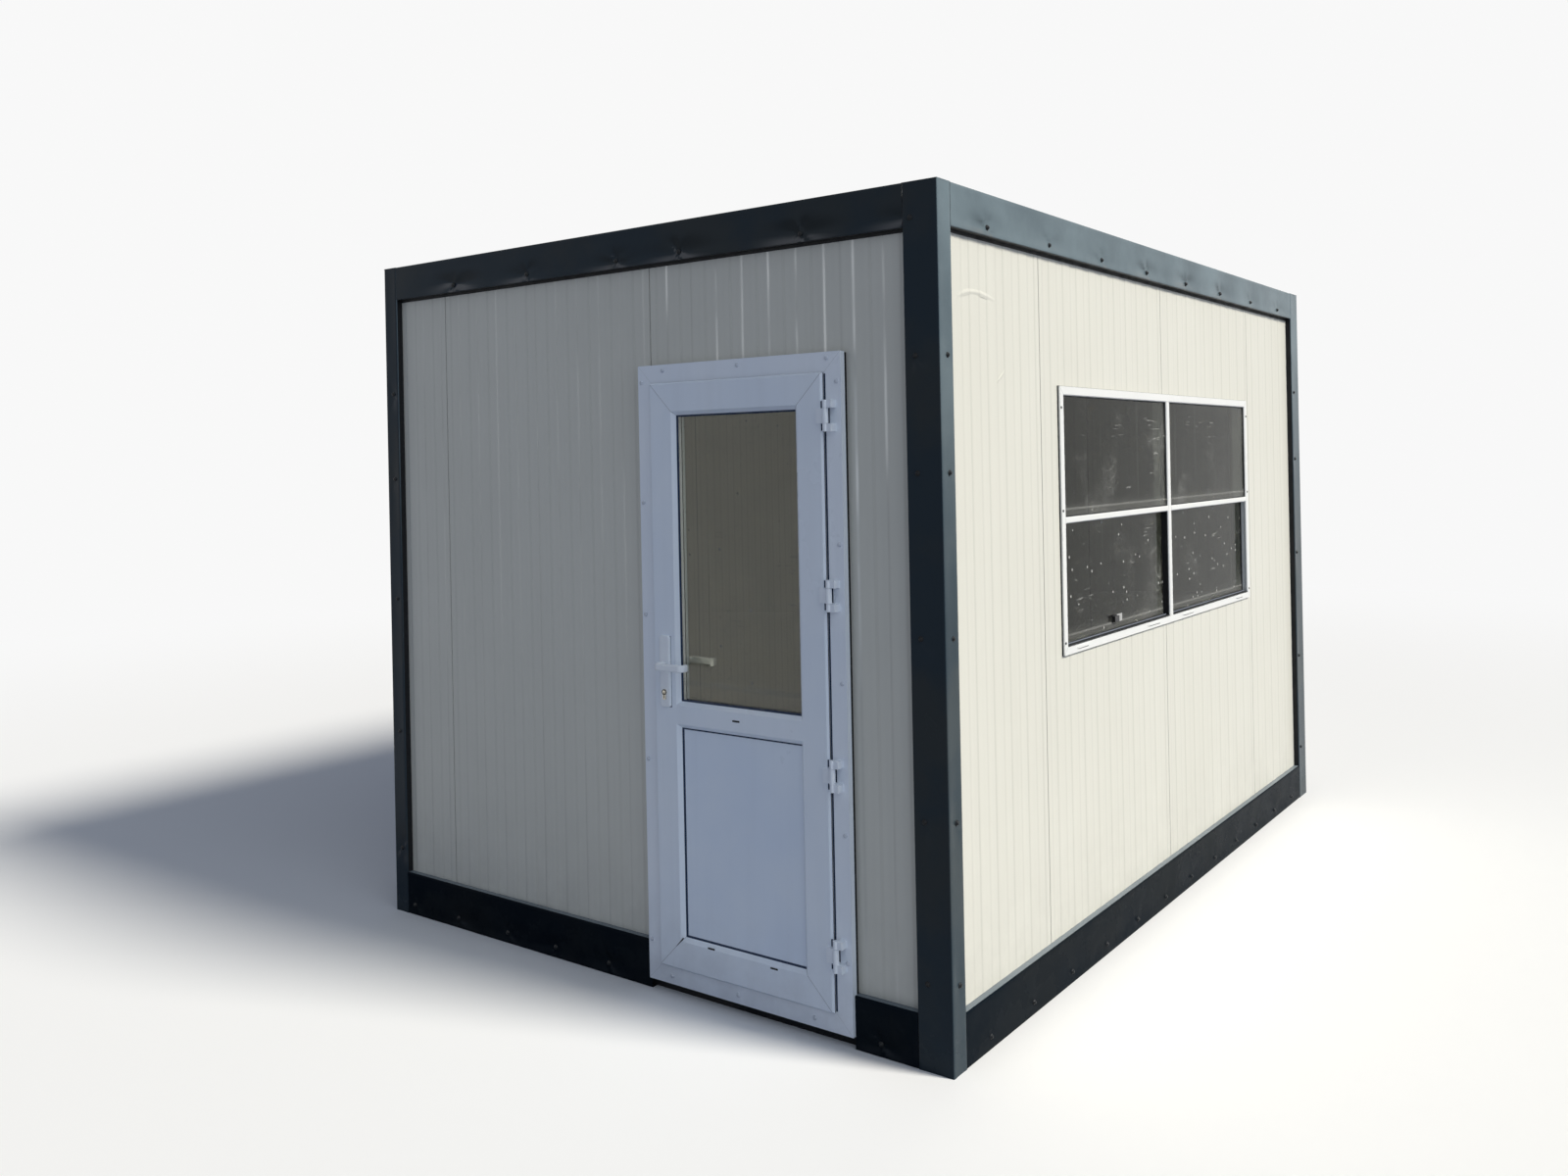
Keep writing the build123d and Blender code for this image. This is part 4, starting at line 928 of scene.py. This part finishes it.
# The door's seals; those outside the glass and the infill lie deeper in the right stile's pocket
leaf_front = leaf_low.y - south
leaf_left, leaf_right = leaf_low.x - west, leaf_high.x - west
glass_line, inner_line = (corner.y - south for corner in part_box("door_glass"))
rail_low, rail_high = 0.830, 0.910
flange_back = flange_front - south + 0.012
clear = 0.0003
opening = (leaf_left + leaf_face, leaf_right - leaf_face)
seal_run = (opening[0], opening[1] + 0.004)
leaf_run, leaf_levels = (leaf_left, leaf_right), (leaf_low.z, leaf_high.z)
glass_levels = (rail_high, leaf_high.z - leaf_face)
infill_levels = (leaf_low.z + leaf_face, rail_low)
frame_levels = (jamb_low.z, jamb_high.z)
door_bead = {"lap": 0.0005, "reach": 0.0052, "foot": 0.0042, "tip": 0.0012}
outer_bead, inner_bead = bead_profile(glass_line, -1, **door_bead), bead_profile(inner_line, 1, **door_bead)
lap_seal = box_profile(0.001, 0.007, leaf_front + 0.0078, leaf_front + 0.0125)
lip = box_profile(0.0006, 0.004, flange_back - clear, flange_back + 0.009)
# Black foam fills the void behind the flange; its black is also painted shade of that void
foam = box_profile(0.003, 0.016, flange_back + 0.0085, stand_off - clear)
door_loops = {
    "glass_seal": (seal_run, glass_levels, outer_bead, leaf_rubber, "door_leaf"),
    "lower_panel_seal": (seal_run, infill_levels, outer_bead, leaf_rubber, "door_leaf"),
    "glass_inner_seal": (opening, glass_levels, inner_bead, rubber, "door_leaf"),
    "leaf_lap_seal": (leaf_run, leaf_levels, lap_seal, rubber, "door_leaf"),
    "flange_lip": (door_edges, frame_levels, lip, door_frame_plastic, "cabin"),
    "flange_foam": (door_edges, frame_levels, foam, rubber, "cabin"),
}
for name, (run, levels, profile, material, body) in door_loops.items():
    corner_loop(name, "front", *run, *levels, profile, material, body)
frame_line = east - window_front
# Black bed seal in the gap behind the window frame; its black is also painted shade of that gap
corner_loop(
    "window_bed_seal", "right", window_low.y - south, window_high.y - south, window_low.z, window_high.z,
    box_profile(-0.0012, 0.003, frame_line + 0.005, stand_off - clear), rubber,
)
on_flange = flange_front - south - 0.0005
# Painted shade: a dark strip on the flange along the leaf's hinge edge, where the gap beside the leaf lies in
# shade
flat_strip(
    "hinge_side_shade_strip", "front", leaf_right + 0.0004, leaf_right + 0.0054, leaf_low.z + 0.004,
    leaf_high.z - 0.004, on_flange, leaf_rubber,
)
# Painted shade: a dark strip on the panels just under each fascia, in its recess
for side, length in lengths.items():
    flat_strip(
        side + "_fascia_shade_strip", side, stand_off + 0.001, length - stand_off - 0.001, fascia_level - 0.009,
        fascia_level + 0.004, stand_off - 0.0015, rubber,
    )

# The four lights of the window: the upper panes stand further out than the lower ones
mullion_low, mullion_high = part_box("window_mullion")
transom_low, transom_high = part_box("window_transoms")
panes_low, panes_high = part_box("window_panes")
pane_thickness = 0.008
light_edges = [
    (window_low.y + window_face - south, mullion_low.y - south),
    (mullion_high.y - south, window_high.y - window_face - south),
]
light_foot, light_head = window_low.z + window_face, window_high.z - window_face
lower_line = east - panes_low.x - pane_thickness
light_levels = {
    "upper": (transom_high.z, light_head, east - panes_high.x),
    "lower": (light_foot, transom_low.z, lower_line),
}
for row, (low, high, line) in light_levels.items():
    pane_bead = bead_profile(line, -1, lap=0.0004, reach=0.0042, foot=0.004, tip=0.001)
    for number, (left, right) in enumerate(light_edges):
        corner_loop(f"{row}_pane_seal_{number}", "right", left, right, low, high, pane_bead, rubber)

# Brush strips on the mullion, and dark tracks and thin rails on the sill in front of the lower panes
brush = 0.003
brush_run = (frame_line + 0.0055, lower_line - 0.0008)
brush_levels = (light_foot + 0.0005, transom_low.z - 0.0005)
brush_edges = [(mullion_low.y - brush, mullion_low.y), (mullion_high.y, mullion_high.y + brush)]
for number, (left, right) in enumerate(brush_edges):
    straight_bar(
        f"mullion_brush_{number}", "right", box_profile(left - south, right - south, *brush_run), True,
        *brush_levels, rubber,
    )
sill_track = [
    (frame_line - 0.0004, light_foot - 0.0036),
    (frame_line + 0.0028, light_foot + 0.0008),
    (lower_line - 0.001, light_foot + 0.0008),
    (lower_line - 0.001, light_foot - 0.0004),
    (frame_line + 0.0034, light_foot - 0.0004),
    (frame_line + 0.0002, light_foot - 0.0040),
]
sill_rail = box_profile(lower_line - 0.011, lower_line - 0.0095, light_foot, light_foot + 0.004)
for number, (left, right) in enumerate(light_edges):
    run = (left + 0.0004, right - 0.0004)
    straight_bar(f"sill_track_{number}", "right", sill_track, False, *run, rubber)
    straight_bar(f"sill_rail_{number}", "right", sill_rail, False, *run, seal_grey)


def capsule_plate(name, side, along, level, inward, length, height, rise, material, body="cabin"):
    """Round-ended plate: half circles at the ends of a line, drawn in from the rim to it while it rises."""
    turns = 24
    angle = round_angles(turns) + math.pi / turns
    ring = np.array([1.0, 1.0, 0.85, 0.0])
    lift = np.array([0.0, 0.6, 1.0, 1.0]) * rise
    first = along + np.sign(np.cos(angle)) * (length - height) / 2 + ring * np.cos(angle) * height / 2
    second = level + ring * np.sin(angle) * height / 2
    points = on_side(side, first, inward - lift, second)
    faces = grid_faces(turns, len(ring), close_rows=True)
    return add_piece(name, points, faces, material, body, smooth=False, weld=True)


for number, (x, z) in enumerate([(0.486, 0.873), (0.373, 0.183), (0.611, 0.175)]):
    capsule_plate(
        f"drain_slot_{number}", "front", x - west, z, leaf_front, length=0.028, height=0.0055, rise=0.0005,
        material=rubber, body="door_leaf",
    )
weep_kinds = {
    "cap": (light_foot - 0.0125, 1.0, 0.009, 0.0015, window_plastic),
    "slot": (light_foot - 0.0175, 0.8, 0.0028, 0.0006, rubber),
}
for number, (start, end) in enumerate([(0.839, 0.936), (1.43, 1.56), (1.78, 1.91), (2.404, 2.501)]):
    middle, run = (start + end) / 2, end - start
    for kind, (level, share, height, rise, material) in weep_kinds.items():
        name = f"weep_{kind}_{number}"
        capsule_plate(name, "right", middle, level, frame_line, run * share, height, rise, material)

# Painted shade at the hinges: dark strips on the leaf beside the frame's knuckles and on the frame beside the
# leaf's, where the gaps lie in shade
knuckle_low, knuckle_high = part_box("hinge_frame_knuckles")
hinge_count, half_hinge, half_knuckle = 4, 0.044, 0.0215
gap_length = 0.02
knuckle_run = (leaf_right + 0.0075, leaf_right + 0.0182)
gap_spots = np.array([(-0.0037, 0.0007), (-0.0005, 0.0039), (-0.0011, 0.0045), (-0.0043, 0.0013)])
gap_profile = gap_spots + (leaf_right, leaf_front)
hinge_levels = np.linspace(knuckle_high.z - half_hinge, knuckle_low.z + half_hinge, hinge_count)
for number, level in enumerate(hinge_levels):
    flat_strip(
        f"knuckle_gap_{number}", "front", *knuckle_run, level - half_knuckle, level + half_knuckle, on_flange,
        leaf_rubber,
    )
    for part, foot in enumerate((level + half_knuckle, level - half_hinge + 0.0025)):
        straight_bar(
            f"leaf_gap_{number}_{part}", "front", gap_profile, True, foot, foot + gap_length, leaf_rubber,
            "door_leaf",
        )

# Spacer bars between the sheets of the door's glass, at its left and right edges
spacer_depth = (glass_line + 0.004, inner_line - 0.004)
spacer_edges = [(opening[0] - 0.004, opening[0] + 0.0055), (opening[1] - 0.002, opening[1] + 0.006)]
for number, run in enumerate(spacer_edges):
    straight_bar(
        f"glass_spacer_{number}", "front", box_profile(*run, *spacer_depth), True, rail_high - 0.004,
        leaf_high.z - 0.096, spacer_grey, "door_leaf",
    )

# Thin shade line where the handle plate lies on the leaf
plate_low, plate_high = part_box("handle_plates")
corner_loop(
    "handle_plate_rim", "front", plate_low.x - west + 0.002, plate_high.x - west, plate_low.z,
    plate_high.z - 0.003, box_profile(-0.0016, 0.002, leaf_front - 0.0004, leaf_front + 0.0004), seal_grey,
    "door_leaf",
)

# Key plug in the lock: a turned ring, a plug inside it and an upright key slot
lock_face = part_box("lock_cylinder")[0].y
key_x = 0.214
key_place = [(key_x, lock_face, 0.937)]
ring_profile = [(0.0084, -0.001), (0.0084, 0.0008), (0.0058, 0.0008), (0.0, 0.0006)]
plug_profile = [(0.0056, -0.001), (0.0056, 0.0012), (0.005, 0.0015), (0.0, 0.0015)]
turned_heads("key_ring", key_place, (0, -1, 0), ring_profile, 24, rubber, "door_leaf")
turned_heads("key_plug", key_place, (0, -1, 0), plug_profile, 20, lock_steel, "door_leaf")


def oval_plate(name, along, level, inward, half_width, half_height, material, body):
    """Flat upright oval on the front: an ellipse drawn in to its middle."""
    turns = 20
    angle = round_angles(turns)
    ring = np.array([1.0, 0.0])
    points = on_side(
        "front", along + ring * np.cos(angle) * half_width, inward, level + ring * np.sin(angle) * half_height
    )
    faces = grid_faces(turns, len(ring), close_rows=True)[:, ::-1]
    return add_piece(name, points, faces, material, body, smooth=False, weld=True)


lock_line = lock_face - south
oval_plate("key_slot", key_x - west, 0.934, lock_line - 0.0018, 0.0013, 0.0046, rubber, "door_leaf")
oval_plate("key_slot_tail", key_x - west, 0.924, lock_line - 0.0003, 0.0016, 0.0075, rubber, "door_leaf")

# Dust on the glass, creases in the wall and an open mitre


def glass_film(name, side, left, right, bottom, top, inward, material, body="cabin"):
    """Flat film in front of a pane: a rectangle with a number that grows from 0 at its foot to 1 on top."""
    share = np.linspace(0.0, 1.0, 2)
    points = on_side(side, left + share[:, None] * (right - left), inward, bottom + share * (top - bottom))
    film = add_piece(name, points, grid_faces(2, 2), material, body, smooth=False)
    film.data.attributes.new("rise", "FLOAT", "POINT").data.foreach_set("value", np.tile(share, 2))


film_gap = 0.0006
for row, (low, high, line) in light_levels.items():
    for number, (left, right) in enumerate(light_edges):
        name = f"{row}_pane_dust_{number}"
        glass_film(name, "right", left, right, low, high, line - film_gap, side_film)
glass_film("door_pane_dust", "front", *opening, *glass_levels, glass_line - film_gap, door_film, "door_leaf")


def pressed_mark(name, spots, half_width, rise):
    """Raised crease on the right wall: a cubic through the spots with a cosine hump, fading at its ends."""
    rows, columns = 40, 7
    along, level = np.array(spots).T
    line = np.polyfit(along, level, min(3, len(spots) - 1))
    way = np.linspace(along[0], along[-1], rows)[:, None]
    across = np.linspace(-1.0, 1.0, columns)
    fade = np.sin(np.linspace(0.0, math.pi, rows))[:, None] ** 0.5
    height = rise * fade * (0.5 + 0.5 * np.cos(math.pi * across))
    points = on_side("right", way, stand_off + 0.0002 - height, np.polyval(line, way) + half_width * across)
    return add_piece(name, points, grid_faces(rows, columns), panel_paint)


long_spots = [(0.1347, 2.0714), (0.1762, 2.0867), (0.2228, 2.0943), (0.2892, 2.0904), (0.3574, 2.0802)]
short_spots = [(0.3526, 1.8473), (0.3783, 1.8626), (0.4045, 1.8829)]
pressed_mark("wall_crease_long", long_spots, half_width=0.009, rise=0.002)
pressed_mark("wall_crease_short", short_spots, half_width=0.007, rise=0.0018)

# The open mitre is a wedge, wide at the leaf's opening and narrow at its lower corner
mitre_start, mitre_end = np.array([0.2630, 0.1930]), np.array([0.2330, 0.1630])
wide = np.array([0.0018, -0.0018])
narrow = 0.3 * wide
mitre = np.stack([mitre_start - wide, mitre_end - narrow, mitre_start + wide, mitre_end + narrow])
mitre_points = on_side("front", mitre[:, 0] - west, leaf_front - 0.0003, mitre[:, 1])
add_piece("open_mitre", mitre_points, grid_faces(2, 2), rubber, "door_leaf", smooth=False)

# Floor, light and camera
white_level = 0.94


def white_floor(reach):
    """Pale square floor, whiter to the camera than to light that bounces off it, and all white far off."""
    mix = Finish("studio_floor", Roughness=0.9, Specular_IOR_Level=0.0, Emission_Color=(1.0, 1.0, 1.0))
    seen, axes = mix.seen(), mix.axes()
    far = mix.work("MULTIPLY_ADD", axes["X"], axes["X"], mix.product(axes["Y"], axes["Y"]))
    glow = mix.product(seen, mix.ramp(mix.work("SQRT", far), 3.5, 11.0))
    ground = mix.blend(seen, (0.20, 0.23, 0.30), (0.9, 0.9, 0.9))
    finish = mix.coat(
        Base_Color=mix.blend(glow, ground, (0.0, 0.0, 0.0)),
        Emission_Strength=mix.product(glow, white_level),
    )
    span = np.array([[-reach, reach]])
    points = np.stack(np.broadcast_arrays(span, span.T, 0.0), axis=-1)
    mesh = new_mesh("studio_floor", points, grid_faces(2, 2)[:, ::-1])
    mesh.materials.append(finish)
    floor = add_object("studio_floor", mesh)


def studio_world(fill):
    """Even pale surround: white where it is seen or mirrored, and a weaker fill for the rest."""
    world = bpy.data.worlds.new("studio")
    bpy.context.scene.world = world
    world.use_nodes = True
    mix = Mixer(world.node_tree)
    seen = mix.seen()
    mix.feed(
        world.node_tree.nodes["Background"].inputs,
        Color=mix.blend(seen, (0.81, 0.93, 1.24), (1.0, 1.0, 1.0)),
        Strength=mix.ramp(seen, 0.0, 1.0, fill, white_level, smooth=False),
    )


def stand(holder, right, up, back, place):
    """Turns a lamp or a camera by its ways to the right, up and back, and puts it in its place."""
    matrix = np.eye(4)
    matrix[:3] = np.stack([right, up, back, place], axis=1)
    holder.matrix_world = Matrix(matrix.tolist())


def soft_sun(name, toward, energy, angle, colour):
    """Broad distant lamp that shines the way it is told."""
    lamp = bpy.data.lights.new(name, "SUN")
    lamp.energy = energy
    lamp.angle = math.radians(angle)
    lamp.color = colour
    back = -np.array(toward, float) / np.linalg.norm(toward)
    right = np.cross(upwards, back)
    right /= np.linalg.norm(right)
    stand(add_object(name, lamp), right, np.cross(back, right), back, np.zeros(3))


white_floor(reach=60.0)
studio_world(fill=0.138)
soft_sun("key_light", toward=(-1.0, -0.22, -0.85), energy=3.8, angle=14.0, colour=(1.0, 0.96, 0.87))
soft_sun("fill_light", toward=(-0.8, 0.5, -0.6), energy=0.70, angle=70.0, colour=(0.85, 0.94, 1.03))

# Camera at the photograph's view: turned to the left and rolled by a degree; focus and centre in pixels
photo_width, photo_height = 1600, 1200
focus, centre_x, centre_y = 1295.1, 856.4, 467.9
eye_place = (2.893, -4.5459, 1.6375)
yaw, roll = math.radians(35.262), math.radians(-1.144)
ahead = np.array([-math.sin(yaw), math.cos(yaw), 0.0])
level_right = np.array([math.cos(yaw), math.sin(yaw), 0.0])
right_way = math.cos(roll) * level_right + math.sin(roll) * upwards
up_way = -math.sin(roll) * level_right + math.cos(roll) * upwards
eye = bpy.data.cameras.new("photo_view")
eye.sensor_width = 36.0
eye.lens = eye.sensor_width * focus / photo_width
eye.shift_x = (photo_width / 2 - centre_x) / photo_width
eye.shift_y = (centre_y - photo_height / 2) / photo_width
eye.clip_end = 300.0
camera = add_object("photo_view", eye)
stand(camera, right_way, up_way, -ahead, eye_place)
bpy.context.scene.camera = camera
bpy.context.scene.view_settings.view_transform = "Standard"

bpy.context.view_layer.update()
